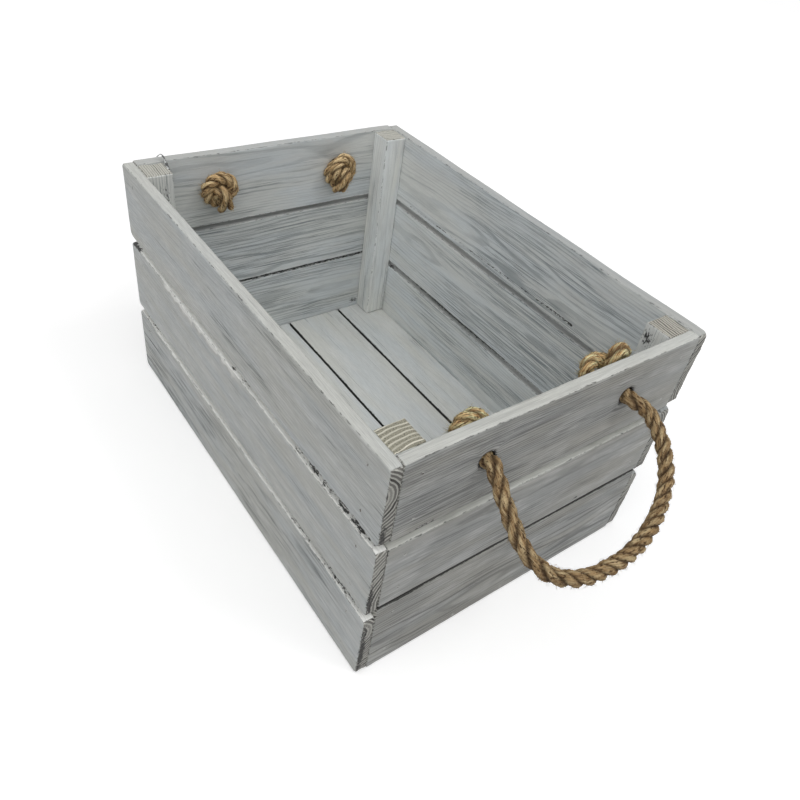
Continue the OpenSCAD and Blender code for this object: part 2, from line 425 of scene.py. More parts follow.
knotLook = {
    "gap": 9.3,  # between the middles of turns that touch
    "lowest": 5.2,
    "highest": 23.0,
    "settleSteps": 140,
    "alongApart": 1.5,  # gaps along the rope beyond which turns push
    "push": 0.06,
    "mostPush": 0.5,
    "pull": 0.16,  # how much the rope straightens at each step
    "held": 12.0,  # length at the hole that stays
    "freeEnd": 12,  # points that may lie beyond the reach
    "lay": 27.0,
    "endLay": 70.0,
    "layChange": (0.86, 0.9),
    "ragged": 5.0,
    "fuzzy": 2.7,
    "wall": 219.0,
    "shiftOver": 5,  # depth over which a knot's shift comes in
    "routeReach": 15.5,  # the plain route's own reach
}
knotRoute = [  # right, up and off the wall, seen from inside the crate
    (0, 0, -8.5), (0, 0, -3), (0.5, 0.5, 3), (6, 4, 6.5), (13, 3, 6), (14.5, -5, 6.5), (8, -12.5, 7),
    (-2, -15, 7), (-11, -11, 8), (-15.2, -3, 9), (-14, 6, 11), (-8, 13, 12.5), (1, 15.5, 14), (9.5, 12.5, 15),
    (14.2, 5, 15), (13, -4, 14), (6, -8, 12), (-2, -6, 11.5), (-5.5, 0, 12), (-3.5, 5, 14),
    (-0.5, 4, 18.5), (0.5, -2, 21), (1, -9, 20), (1.5, -16, 17), (2, -21, 14.5),
]
wideKnotRoute = [  # the back right knot is loose, with a bend of rope beside it
    (0, 0, -8.5), (0, 0, -3), (0, 0, 3), (-7, -5, 6), (-4, -14, 7), (8, -15, 8), (18, -9, 10), (23, 1, 12.5),
    (25, 11, 16), (25.5, 20, 20.5), (15, 20.5, 20.5), (4, 15.5, 19), (-6, 11, 18), (-13, 6, 16.5),
    (-13, -2, 14), (-6, -7, 14), (4, -5, 16), (8, 2, 15.5), (5.5, 10, 11.5), (4.5, 18, 9), (6.5, 26, 10),
    (3, 32, 11), (-3, 33, 11.5), (-9.5, 27, 11.5), (-10.5, 19, 10),
]
knots = {  # turn in degrees; flip mirrors; reach is from the hole's middle to the outer turn's middle
    "frontLeftKnot": {"node": "front_left_knot", "sign": -1, "y": -75, "turn": 8, "reach": 16.4,
                      "shift": (2.6, -0.5), "splay": 3.8},
    "backLeftKnot": {"node": "back_left_knot", "sign": -1, "y": 75, "turn": -12, "reach": 15.8,
                     "shift": (1.8, -3.0), "splay": 2.6, "wide": 0.95, "tall": 1.14, "flip": -1},
    "frontRightKnot": {"node": "front_right_knot", "sign": 1, "y": -75, "turn": 20, "reach": 18.0,
                       "shift": (-1.8, 2.2), "splay": 1.0, "wide": 0.82, "tall": 1.05, "lift": 1.1},
    "backRightKnot": {"node": "back_right_knot", "sign": 1, "y": 75, "turn": 0, "reach": 34.0,
                      "shift": (0, 0), "splay": 1.2, "route": wideKnotRoute},
}


def settleKnot(line, reach):  # turns that lie in each other move apart, as in a knot that is pulled tight
    look = knotLook
    away = np.abs(np.subtract.outer(np.arange(len(line)), np.arange(len(line)))) * ropeLook["step"]
    held = int(look["held"] / ropeLook["step"])
    for turn in range(look["settleSteps"]):
        between = line[:, None] - line[None]
        distance = np.linalg.norm(between, axis=2) + 1e-6
        pushing = (distance < look["gap"]) & (away > look["alongApart"] * look["gap"])
        short = np.where(pushing, look["gap"] - distance, 0)
        push = (between / distance[..., None] * short[..., None]).sum(1) * look["push"]
        line[held:] += np.clip(push, -look["mostPush"], look["mostPush"])[held:]
        line[held:-1] += look["pull"] * (line[held - 1:-2] + line[held + 1:] - 2 * line[held:-1])
        free = line[held:]
        free[:, 2] = np.clip(free[:, 2], look["lowest"], look["highest"])
        far = np.hypot(free[:, 0], free[:, 1])
        inReach = np.minimum(1, reach / np.maximum(far, 1e-6))
        free[:-look["freeEnd"], :2] *= inReach[:-look["freeEnd"], None]
    return evenLine(line, ropeLook["step"])


def makeKnot(name, spec, seed):
    look = knotLook
    size = 1.0 if "route" in spec else spec["reach"] / look["routeReach"]
    route = np.array(spec.get("route", knotRoute), float) * (spec.get("flip", 1) * size, size, 1)
    line = settleKnot(smoothLine(route, ropeLook["step"]), spec["reach"])
    turn = math.radians(spec["turn"])
    a = line[:, 0] * math.cos(turn) - line[:, 1] * math.sin(turn)
    b = line[:, 0] * math.sin(turn) + line[:, 1] * math.cos(turn)
    x = spec["sign"] * (look["wall"] - line[:, 2] * np.where(line[:, 2] > 0, spec.get("lift", 1.0), 1))
    out = np.clip(line[:, 2] / look["shiftOver"], 0, 1)
    a = a * spec.get("wide", 1.0) + out * spec["shift"][0]
    b = b * spec.get("tall", 1.0) + out * spec["shift"][1]
    world = np.stack([x, spec["y"] - spec["sign"] * a, handle["holeZ"] + b], 1)
    lays = ([0, *look["layChange"], 1], [look["lay"]] * 2 + [look["endLay"]] * 2)
    front = np.array([-spec["sign"], 0.0, 0.0])
    shape = twistedRope(world, seed, lays, spec["splay"], look["ragged"], front, look["fuzzy"])
    knot = meshObject(name, *shape)
    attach(knot, "crate")
    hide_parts(spec["node"])
    return knot


knotPieces = {name: makeKnot(name, spec, 101 + 9 * k) for k, (name, spec) in enumerate(knots.items())}
print("knots made")

# planks and posts, in millimetres along, across and through
def raggedLine(x, step, seed):  # straight between random heights, from -1 to 1
    picks = np.random.default_rng(seed).uniform(-1, 1, int(np.max(x) / step) + 4)
    return np.interp(np.asarray(x) / step, np.arange(len(picks)), picks)


def spacedLines(total, step, near, extra=()):
    middle = np.linspace(near[-1], total - near[-1], max(2, round((total - 2 * near[-1]) / step) + 1))
    lines = np.unique(np.concatenate([[0, total], near, total - np.array(near), middle, list(extra)]))
    kept = [lines[0]]
    wanted = set(np.round(list(extra) + [total], 4))
    for line in lines[1:]:
        if line - kept[-1] > plankLook["closestLines"]:
            kept.append(line)
        elif round(line, 4) in wanted and len(kept) > 1:
            kept[-1] = line
    return np.array(kept)


def boxShell(us, vs, ws):  # a grid over all six faces, with shared corners
    ids = np.full((len(us), len(vs), len(ws)), -1)
    skin = np.ones(ids.shape, bool)
    skin[1:-1, 1:-1, 1:-1] = False
    ids[skin] = np.arange(skin.sum())
    spots = np.stack(np.meshgrid(us, vs, ws, indexing="ij"), -1)[skin]
    faces = []
    for axis in range(3):
        for end in (0, -1):
            sheet = np.take(ids, end, axis)
            quads = np.stack([sheet[:-1, :-1], sheet[1:, :-1], sheet[1:, 1:], sheet[:-1, 1:]], -1)
            quads = quads.reshape(-1, 4)
            faces.append(quads[:, ::-1] if (end == 0) != (axis == 1) else quads)
    return ids, spots, np.concatenate(faces)


def roundEdges(spots, size, radius):  # pushes the points near an edge on to its curve
    reach = np.minimum(radius[:, None], size / 2 - 0.01)
    core = np.clip(spots, reach, size - reach)
    away = spots - core
    length = np.linalg.norm(away, axis=1)
    near = length > 1e-9
    out = spots.copy()
    out[near] = core[near] + away[near] * (reach[near, 0] / length[near])[:, None]
    return out


def roundCorners(spots, size, radii):  # the four corners of the plank's outline, along and across
    for k, radius in enumerate(radii):
        endU, endV = k % 2, k // 2
        fromU = size[0] - spots[:, 0] if endU else spots[:, 0]
        fromV = size[1] - spots[:, 1] if endV else spots[:, 1]
        a = (radius - fromU) / radius
        b = (radius - fromV) / radius
        inside = (a > 0) & (b > 0)
        scale = np.ones(len(a))
        scale[inside] = np.maximum(a, b)[inside] / np.hypot(a, b)[inside]
        moveU = np.where(inside, radius * a * (1 - scale), 0)
        moveV = np.where(inside, radius * b * (1 - scale), 0)
        spots[:, 0] += -moveU if endU else moveU
        spots[:, 1] += -moveV if endV else moveV


plankLook = {
    "step": 5.0,  # between grid lines along and across
    "nearEdge": (0.5, 1.1, 1.9, 3.0, 4.6),  # extra grid lines beside each edge
    "closestLines": 0.35,
    "nearDent": (-2.6, -1.5, 0, 1.5, 2.6),
    "nearHole": (1.15, 1.4, 1.9, 2.6),  # in hole radii from its middle
    "inChip": 1.3,
    "inGroove": 0.5,
    "besideGroove": (3, 3.5),
    "grooveEnd": 0.6,
    "fromRim": 0.4,
    "edgeRadius": 1.5,
    "edgeUneven": (0.2, 14),  # how much, and over what length
    "ripple": 0.16,  # how far the faces are from flat
    "rippleLengths": (95, 24),
    "rippleFade": 4,
    "wave": 0.25,  # how far the long edges are from straight
    "waveLength": 190,
    "waveFade": 20,
    "endLengths": (6, 5),
    "nickDepth": 0.26,
    "nickReach": 1.7,
    "nickMove": 0.7,
    "nickLengths": (4.5, 31),  # of one nick, and of a row of them
    "nickFrom": 0.25,
    "nickGain": 1.6,
    "nickLeast": 0.12,
    "nickDark": (0.2, 1.2),  # from what depth, and how much
    "nailDent": 0.35,
    "nailDentRadius": 2.4,
    "nailDentSlope": 1.6,
    # painted shade in the nail dents
    "nailDentDark": 0.45,
    "wearReach": 5.0,
    # how far the painted shade in a seam reaches
    "seamReach": 1.4,
    "ridgeLumps": (0.7, 6.0),  # how much, and over what length
    "ridgeFade": (20, 70),
    "grooveBreaks": (0.85, 0.35, 9.0),  # the usual depth, how much it changes, over what length
    "grooveWhole": 0.8,  # from here on it has no breaks
    "holeLines": 9,
    "holeToSquare": 1.6,  # how far round the hole the grid bends, in hole radii
    "holeLip": 0.7,
    "holeLipReach": 0.35,
    "holeShade": (0.9, 0.3),  # painted shade round the hole: how dark, and how far out
    "holeDepths": (0.12, 0.35, 0.65, 0.88),
    "holeNarrowing": 0.93,
}
chipLook = {
    "fade": 9,  # length over which a tear starts and stops
    "usual": 0.55,
    "fine": (0.75, 2.6),  # how much, and over what length
    "coarse": (0.4, 12),
    "deepest": 1.4,
    "stainLeast": 0.4,
    "stainInward": 0.6,
    "stainSolid": 1.5,
    "stainNarrowest": 0.3,
}


def plankGrid(size, low, dents, holes, chips, groove):
    look = plankLook
    extraU = [u - low[0] + d for u, v in dents for d in look["nearDent"]]
    extraV = [v - low[1] + d for u, v in dents for d in look["nearDent"]]
    for u, v, radius in holes:
        rings = np.array(look["nearHole"]) * radius
        around = [*np.linspace(-radius, radius, look["holeLines"]), *-rings, *rings]
        extraU += [u - low[0] + d for d in around]
        extraV += [v - low[1] + d for d in around]
    for chip in chips:
        extraU += list(np.arange(chip["from"] - low[0], chip["to"] - low[0], look["inChip"]))
    if groove:
        under, over = look["besideGroove"]
        start, end = groove["from"][1] - under, groove["to"][1] + over
        extraV += list(np.arange(start, end, look["inGroove"]) - low[1])
        extraU += [groove["to"][0] - low[0] + d for d in (-look["grooveEnd"], look["grooveEnd"])]
    lines = []
    for total, extra in ((size[0], extraU), (size[1], extraV)):
        inside = [x for x in extra if look["fromRim"] < x < total - look["fromRim"]]
        lines.append(spacedLines(total, look["step"], look["nearEdge"], inside))
    return *lines, spacedLines(size[2], look["step"], look["nearEdge"][:4])


def drillHole(flat, spots, faces, marks, onFace, grid, hole):  # a square of grid cells becomes a round hole
    look = plankLook
    us, vs, ids, low, size = grid
    holeU, holeV, radius = hole
    u, v, w = flat.T
    du = u + low[0] - holeU
    dv = v + low[1] - holeV
    square = np.maximum(np.abs(du), np.abs(dv))
    disc = np.hypot(du, dv)
    ring = np.clip((square / radius - 1) / look["holeToSquare"], 0, 1)
    scale = np.where(disc > 0, square / np.maximum(disc, 1e-6), 1)
    scale = scale + (1 - scale) * ring
    near = onFace & (square < look["nearHole"][-1] * radius)
    spots[near, 0] += (du * (scale - 1))[near]
    spots[near, 1] += (dv * (scale - 1))[near]
    lip = np.clip(1 - (square / radius - 1) / look["holeLipReach"], 0, 1) * near
    spots[:, 2] += np.where(w > size[2] / 2, -1, 1) * look["holeLip"] * lip
    # painted shade round the rope hole
    shade, shadeReach = look["holeShade"]
    rimShade = shade * np.clip(1 - (square / radius - 1) / shadeReach, 0, 1) * near
    marks["dark"] = np.maximum(marks["dark"], rimShade)
    middle = flat[faces].mean(1)
    inside = np.abs(middle[:, :2] + low[:2] - (holeU, holeV)).max(1) < radius
    inside &= np.minimum(middle[:, 2], size[2] - middle[:, 2]) < 1e-6
    faces = faces[~inside]
    i0, i1 = [int(np.argmin(np.abs(us - (holeU - low[0] + s * radius)))) for s in (-1, 1)]
    j0, j1 = [int(np.argmin(np.abs(vs - (holeV - low[1] + s * radius)))) for s in (-1, 1)]
    walk = [(i, j0) for i in range(i0, i1)] + [(i1, j) for j in range(j0, j1)]
    walk += [(i, j1) for i in range(i1, i0, -1)] + [(i0, j) for j in range(j1, j0, -1)]
    walk = np.array(walk)
    rings = [ids[walk[:, 0], walk[:, 1], 0]]
    front = spots[rings[0]]
    back = spots[ids[walk[:, 0], walk[:, 1], -1]]
    centre = np.array([holeU - low[0], holeV - low[1]])
    for depth in look["holeDepths"]:
        wall = front + (back - front) * depth
        wall[:, :2] = centre + (wall[:, :2] - centre) * look["holeNarrowing"]
        rings.append(np.arange(len(spots), len(spots) + len(walk)))
        spots = np.concatenate([spots, wall])
        flat = np.concatenate([flat, wall])
        # the hole's walls are painted in full shade
        for name in marks:
            marks[name] = np.append(marks[name], [float(name == "dark")] * len(walk))
        onFace = np.append(onFace, [False] * len(walk))
    rings.append(ids[walk[:, 0], walk[:, 1], -1])
    for a, b in zip(rings, rings[1:]):
        faces = np.concatenate([faces, np.stack([a, np.roll(a, -1), np.roll(b, -1), b], 1)])
    return flat, spots, faces, onFace


def plankShape(node, order, seed, pith, corners, rubbed, dents=(), outer=None, holes=(), chips=(), nicks=1.0,
               endRough=0.25, edgeRadius=None, seams=(0, 0), stains=(), taller=0.0, rim=(1, 1), ridge=None,
               groove=None):
    look = plankLook
    low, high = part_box(node)
    low = np.array(low)[list(order)] / mm
    size = np.array(high)[list(order)] / mm - low + np.array([0, taller, 0])
    us, vs, ws = plankGrid(size, low, dents, holes, chips, groove)
    ids, flat, faces = boxShell(us, vs, ws)
    u, v, w = flat.T

    fromSides = np.sort(np.stack([u, size[0] - u, v, size[1] - v, w, size[2] - w], 1), 1)
    endFace = (np.minimum(u, size[0] - u) < 1e-6).astype(float)
    # the narrow faces take the rim tone: thicker paint, and painted light where they face up
    rimFace = rim[0] * ((v < 1e-6) & (endFace < 0.5)) + rim[1] * ((size[1] - v < 1e-6) & (endFace < 0.5))
    if ridge:  # thick paint, and a painted highlight, along the top of the front face
        reach, start, end = ridge
        amount, length = look["ridgeLumps"]
        lumpy = reach * (1 + amount * raggedLine(u, length, seed + 3))
        fadeIn, fadeOut = look["ridgeFade"]
        runs = np.clip((u + low[0] - start) / fadeIn, 0, 1) * np.clip((end - u - low[0]) / fadeOut, 0, 1)
        thick = np.clip(2 - 2 * (size[1] - v) / lumpy, 0, 1)
        rimFace = np.maximum(rimFace, rim[1] * (w < 1e-6) * runs * thick)
    # dark marks: stains, chips and nicks, and painted shade in seams, nail dents and the rope holes
    dark = np.zeros(len(u))
    for level, amount in zip((0, size[1]), seams):  # painted shade in the narrow seams, where the paint also does not reach
        dark = np.maximum(dark, amount * np.clip(1 - np.abs(v - level) / look["seamReach"], 0, 1))
    # stains, and painted shade along some seams
    for spot, reach, amount in stains:
        away = [(a + b - c) / r for a, b, c, r in zip((u, v, w), low, spot, reach)]
        dark = np.maximum(dark, amount * np.exp(-sum(a * a for a in away)))
    if groove:  # a painted shadow line on the inner face
        (startU, startV), (endU, endV) = groove["from"], groove["to"]
        along = (u + low[0] - startU) / (endU - startU)
        away = v + low[1] - startV - (endV - startV) * along
        away = away / np.interp(along, groove["wideAt"], groove["wide"])
        deep = np.interp(along, groove["deepAt"], groove["deep"])
        usual, change, length = look["grooveBreaks"]
        broken = np.where(along < look["grooveWhole"], usual + change * raggedLine(u, length, seed + 61), 1.0)
        dark = np.maximum(dark, (w < 1e-6) * deep * broken * np.exp(-away ** 2))

    amount, length = look["edgeUneven"]
    unevenness = 1 + amount * raggedLine(u + 3 * v + 7 * w, length, seed)
    spots = roundEdges(flat, size, (edgeRadius or look["edgeRadius"]) * unevenness)
    roundCorners(spots, size, corners)
    nickLength, rowLength = look["nickLengths"]
    darkFrom, darkGain = look["nickDark"]
    for k in range(4):  # nicks and chips along the four long edges
        sideV, sideW = k % 2, k // 2
        fromV = size[1] - v if sideV else v
        fromW = size[2] - w if sideW else w
        fall = np.exp(-(np.hypot(fromV, fromW) / look["nickReach"]) ** 2)
        rough = raggedLine(u, nickLength, seed + 11 * k)
        rough = rough * (0.5 + 0.5 * raggedLine(u, rowLength, seed + 5 + k))
        depth = np.clip(rough - look["nickFrom"], 0, 1) * look["nickGain"] + look["nickLeast"]
        depth = nicks * look["nickDepth"] * depth
        dark += fall * np.clip(depth - darkFrom, 0, 1) * darkGain
        for chip in chips:
            if chip["edge"] != (sideV, sideW):
                continue
            ends = np.minimum(u + low[0] - chip["from"], chip["to"] - u - low[0])
            ends = np.clip(ends / chipLook["fade"], 0, 1)
            torn = chipLook["usual"]
            for name, change in (("fine", 40), ("coarse", 41)):
                amount, length = chipLook[name]
                torn = torn + amount * raggedLine(u, length, seed + change)
            torn = np.clip(torn, 0, chipLook["deepest"])
            chipFall = np.exp(-(np.hypot(fromV / chip["up"], fromW / chip["in"])) ** 2)
            depth = np.maximum(depth, ends * torn * chip["depth"])
            fall = np.maximum(fall, np.where(ends > 0, chipFall, 0))
            along = np.clip((u + low[0] - chip["from"]) / (chip["to"] - chip["from"]), 0, 1)
            least = chipLook["stainLeast"]
            reach = chip["stain"] * (least + (1 - least) * torn) * (least + (1 - least) * along)
            away = np.hypot(fromV, chipLook["stainInward"] * fromW)
            mark = chipLook["stainSolid"] - away / np.maximum(reach, chipLook["stainNarrowest"])
            mark = np.clip(mark, 0, 1)
            dark = np.maximum(dark, ends * mark)
        spots[:, 1] += depth * fall * (-1 if sideV else 1) * look["nickMove"]
        spots[:, 2] += depth * fall * (-1 if sideW else 1) * look["nickMove"]

    onFace = np.minimum(w, size[2] - w) < 1e-6
    lengthU, lengthV = look["rippleLengths"]
    lift = look["ripple"] * waveField(u / lengthU, v / lengthV, seed + 21)
    shift = np.where(w > size[2] / 2, lift, -lift) * np.clip(fromSides[:, 1] / look["rippleFade"], 0, 1)
    for nailU, nailV in dents:
        away = np.hypot(u + low[0] - nailU, v + low[1] - nailV) / look["nailDentRadius"]
        hit = onFace & ((w > size[2] / 2) == (outer == 1)) & (away < 1)
        bowl = np.clip(look["nailDentSlope"] - look["nailDentSlope"] * away, 0, 1)
        inward = -1 if outer == 1 else 1
        shift = np.where(hit, shift * (1 - bowl) + inward * look["nailDent"] * bowl, shift)
        # painted shade in the dent round the nail
        dark = np.maximum(dark, np.where(hit, look["nailDentDark"] * bowl, 0))
    spots[:, 2] += shift
    lengthV, lengthW = look["endLengths"]
    spots[:, 0] += endFace * endRough * waveField(v / lengthV, w / lengthW, seed + 31)
    bow = look["wave"] * waveField(u / look["waveLength"], 0 * u, seed + 51)
    spots[:, 1] += bow * np.clip(u / look["waveFade"], 0, 1)

    edge = 1 - np.clip(fromSides[:, 1] / look["wearReach"], 0, 1)
    thinPaint = np.interp(u / size[0], np.linspace(0, 1, len(rubbed)), rubbed)
    marks = {"edge": edge, "endFace": endFace, "rimFace": rimFace, "dark": dark, "rubbed": thinPaint}
    grid = us, vs, ids, low, size
    for hole in holes:
        flat, spots, faces, onFace = drillHole(flat, spots, faces, marks, onFace, grid, hole)

    used, faces = np.unique(faces, return_inverse=True)
    faces = faces.reshape(-1, 4)
    marks = {name: values[used] for name, values in marks.items()}
    marks["dark"] = np.clip(marks["dark"], 0, 1)
    grain = flat[used] - np.array([-1000.0 * (seed % 17), *pith])  # each plank is another part of the tree
    world = np.zeros((len(used), 3))
    world[:, list(order)] = (spots[used] + low) * mm
    swapped = Matrix([[1.0 if order[r] == c else 0.0 for c in range(3)] for r in range(3)]).determinant() < 0
    return world, faces[:, ::-1] if swapped else faces, marks, {"woodPos": grain * mm}


def addSliver(spots, faces, marks, vectors, carrier):  # a thin curl of wood that has torn loose
    place = np.array(placeOnPhoto("splinter", carrier)[0]) / mm
    line = smoothLine(place + np.array(sliver["line"]), 1.2)
    heading, side, over = lineFrames(line)
    thick = np.interp(np.linspace(0, 1, len(line)), np.linspace(0, 1, len(sliver["thick"])), sliver["thick"])
    turns = math.tau * np.arange(5) / 5
    ring = np.cos(turns)[None, :, None] * side[:, None] + 0.5 * np.sin(turns)[None, :, None] * over[:, None]
    tube = (line[:, None] + thick[:, None, None] * ring).reshape(-1, 3) * mm
    ids = len(spots) + np.arange(len(tube)).reshape(-1, 5)
    after = np.roll(ids, -1, 1)
    quads = np.stack([ids[:-1], after[:-1], after[1:], ids[1:]], -1).reshape(-1, 4)
    marks = {name: np.append(values, [0.6 * (name == "dark")] * len(tube)) for name, values in marks.items()}
    vectors = {key: np.concatenate([values, tube]) for key, values in vectors.items()}
    return np.concatenate([spots, tube]), np.concatenate([faces, quads]), marks, vectors


# shader helpers and shared effects
def feed(tree, slot, value):
    if isinstance(value, bpy.types.NodeSocket):
        tree.links.new(value, slot)
    else:
        slot.default_value = value


def addNode(tree, kind, inputs=None, **settings):
    node = tree.nodes.new(kind)
    for key, value in settings.items():
        setattr(node, key, value)
    for key, value in (inputs or {}).items():
        feed(tree, node.inputs[key], value)
    return node


def calc(tree, operation, *values):
    return addNode(tree, "ShaderNodeMath", dict(enumerate(values)), operation=operation).outputs[0]


def swing(tree, value, gain, base):  # a value round 0.5, spread out round a base
    return calc(tree, "MULTIPLY_ADD", calc(tree, "SUBTRACT", value, 0.5), gain, base)


def vectorCalc(tree, operation, *values, output=0):
    return addNode(tree, "ShaderNodeVectorMath", dict(enumerate(values)), operation=operation).outputs[output]


def inMillimetres(tree, place):
    return vectorCalc(tree, "MULTIPLY", place, (1000, 1000, 1000))


def noiseAt(tree, place, scale=None, detail=2.0, roughness=0.5):
    if scale:
        place = vectorCalc(tree, "MULTIPLY", place, scale)
    inputs = {"Vector": place, "Scale": 1.0, "Detail": detail, "Roughness": roughness}
    return addNode(tree, "ShaderNodeTexNoise", inputs).outputs[0]


def band(tree, value, low, high, start=0.0, end=1.0):
    inputs = {"Value": value, "From Min": low, "From Max": high, "To Min": start, "To Max": end}
    return addNode(tree, "ShaderNodeMapRange", inputs, interpolation_type="SMOOTHSTEP").outputs[0]


def mixColor(tree, amount, a, b, blend="MIX"):
    return addNode(tree, "ShaderNodeMix", {0: amount, 6: a, 7: b}, data_type="RGBA", blend_type=blend,
                   clamp_result=True).outputs[2]


def paint(red, green, blue):  # 0 to 255, as a colour picker shows it
    straight = [((c / 255 + 0.055) / 1.055) ** 2.4 for c in (red, green, blue)]
    return (*straight, 1.0)


def newGroup(name, inputs, outputs):
    tree = bpy.data.node_groups.new(name, "ShaderNodeTree")
    for label, value in {"Position": (0, 0, 0), **inputs}.items():
        kind = "NodeSocketFloat" if isinstance(value, float) else "NodeSocketVector"
        tree.interface.new_socket(name=label, in_out="INPUT", socket_type=kind).default_value = value
    for label in outputs:
        tree.interface.new_socket(name=label, in_out="OUTPUT", socket_type="NodeSocketFloat")
    return tree, tree.nodes.new("NodeGroupInput").outputs, tree.nodes.new("NodeGroupOutput").inputs


def useGroup(tree, group, inputs):
    node = tree.nodes.new("ShaderNodeGroup")
    node.node_tree = group
    for key, value in inputs.items():
        feed(tree, node.inputs[key], value)
    return node.outputs


def growthRings():  # the tree's rings round the heart, which lies along X of Position
    tree, given, made = newGroup("growthRings", {"Spacing": 3.0, "Wobble": 3.0, "Thickness": 0.3},
                                 ["Line", "Radius"])
    place = inMillimetres(tree, given["Position"])
    slow = noiseAt(tree, place, (0.006, 0.022, 0.022), 1.0)
    quick = noiseAt(tree, place, (0.03, 0.12, 0.12))
    out = vectorCalc(tree, "LENGTH", vectorCalc(tree, "MULTIPLY", place, (0, 1, 1)), output=1)
    sway = calc(tree, "MULTIPLY", calc(tree, "SUBTRACT", slow, 0.5), given["Wobble"])
    sway = calc(tree, "MULTIPLY_ADD", sway, 4.0, calc(tree, "SUBTRACT", quick, 0.5))
    radius = calc(tree, "ADD", out, sway)
    count = calc(tree, "DIVIDE", radius, given["Spacing"])
    part = calc(tree, "FRACT", count)
    year = addNode(tree, "ShaderNodeTexWhiteNoise", {"W": calc(tree, "FLOOR", count)}, noise_dimensions="1D")
    start = calc(tree, "SUBTRACT", 0.92, given["Thickness"])  # a slow rise and a sharp end, as late wood has
    rise = band(tree, part, calc(tree, "SUBTRACT", start, 0.16), calc(tree, "ADD", start, 0.04))
    line = calc(tree, "MULTIPLY", rise, band(tree, part, 1.0, 0.9))
    line = calc(tree, "MULTIPLY", line, calc(tree, "MULTIPLY_ADD", year.outputs[0], 0.6, 0.4))
    tree.links.new(line, made["Line"])
    tree.links.new(radius, made["Radius"])
    return tree


def grainStreaks():  # broken strokes along the grain, that bend with the rings
    tree, given, made = newGroup(
        "grainStreaks",
        {"Radius": 0.0, "Length": 20.0, "Width": 1.5, "Amount": 0.5, "Softness": 0.07},
        ["Streak", "Raw"],
    )
    parts = addNode(tree, "ShaderNodeSeparateXYZ", {0: inMillimetres(tree, given["Position"])}).outputs
    across = calc(tree, "MULTIPLY_ADD", parts[2], 1.3, parts[1])
    across = calc(tree, "MULTIPLY_ADD", given["Radius"], 0.35, across)
    field = addNode(tree, "ShaderNodeCombineXYZ", {
        0: calc(tree, "DIVIDE", parts[0], given["Length"]),
        1: calc(tree, "DIVIDE", across, given["Width"]),
        2: calc(tree, "MULTIPLY", given["Length"], 0.37),
    }).outputs[0]
    raw = noiseAt(tree, field, None, 2.5, 0.55)
    start = calc(tree, "MULTIPLY_ADD", given["Amount"], -0.3, 0.72)
    tree.links.new(band(tree, raw, start, calc(tree, "ADD", start, given["Softness"])), made["Streak"])
    tree.links.new(raw, made["Raw"])
    return tree


def edgeWear():  # broken patches along the edges
    tree, given, made = newGroup("edgeWear", {"Edge": 0.0, "Reach": 0.2, "Size": 6.0}, ["Worn"])
    size = addNode(tree, "ShaderNodeCombineXYZ", {axis: given["Size"] for axis in range(3)}).outputs[0]
    place = vectorCalc(tree, "MULTIPLY", given["Position"], (420, 1000, 1000))
    rough = noiseAt(tree, vectorCalc(tree, "DIVIDE", place, size), None, 3.0, 0.65)
    closeness = swing(tree, rough, 1.4, given["Edge"])
    worn = calc(tree, "SUBTRACT", closeness, calc(tree, "SUBTRACT", 1.0, given["Reach"]))
    tree.links.new(band(tree, worn, 0.0, 0.16), made["Worn"])
    return tree


def patches():  # slow changes of tone over a surface
    tree, given, made = newGroup("patches", {"Along": 120.0, "Across": 25.0}, ["Patch", "Tint"])
    parts = addNode(tree, "ShaderNodeSeparateXYZ", {0: inMillimetres(tree, given["Position"])}).outputs
    field = addNode(tree, "ShaderNodeCombineXYZ", {
        axis: calc(tree, "DIVIDE", parts[axis], given["Across" if axis else "Along"]) for axis in range(3)
    }).outputs[0]
    tree.links.new(noiseAt(tree, field, None, 3.0, 0.6), made["Patch"])
    other = vectorCalc(tree, "ADD", vectorCalc(tree, "MULTIPLY", field, (0.7, 0.7, 0.7)), (31, 7, 3))
    tree.links.new(band(tree, noiseAt(tree, other), 0.36, 0.66), made["Tint"])
    return tree


ringGroup = growthRings()
streakGroup = grainStreaks()
wearGroup = edgeWear()
patchGroup = patches()


def newMaterial(name):
    material = bpy.data.materials.new(name)
    material.use_nodes = True
    tree = material.node_tree
    tree.nodes.clear()
    out = tree.nodes.new("ShaderNodeOutputMaterial")
    shader = tree.nodes.new("ShaderNodeBsdfPrincipled")
    tree.links.new(shader.outputs[0], out.inputs[0])
    return material, tree, shader


def dressShader(tree, shader, color, roughness, height, strength, distance):
    bump = addNode(tree, "ShaderNodeBump", {"Strength": strength, "Distance": distance, "Height": height})
    for slot, value in (("Base Color", color), ("Roughness", roughness), ("Normal", bump.outputs[0])):
        tree.links.new(value, shader.inputs[slot])


def pointMasks(tree, *names):
    kind = "ShaderNodeAttribute"
    return [addNode(tree, kind, attribute_name=n, attribute_type="GEOMETRY").outputs["Fac"] for n in names]


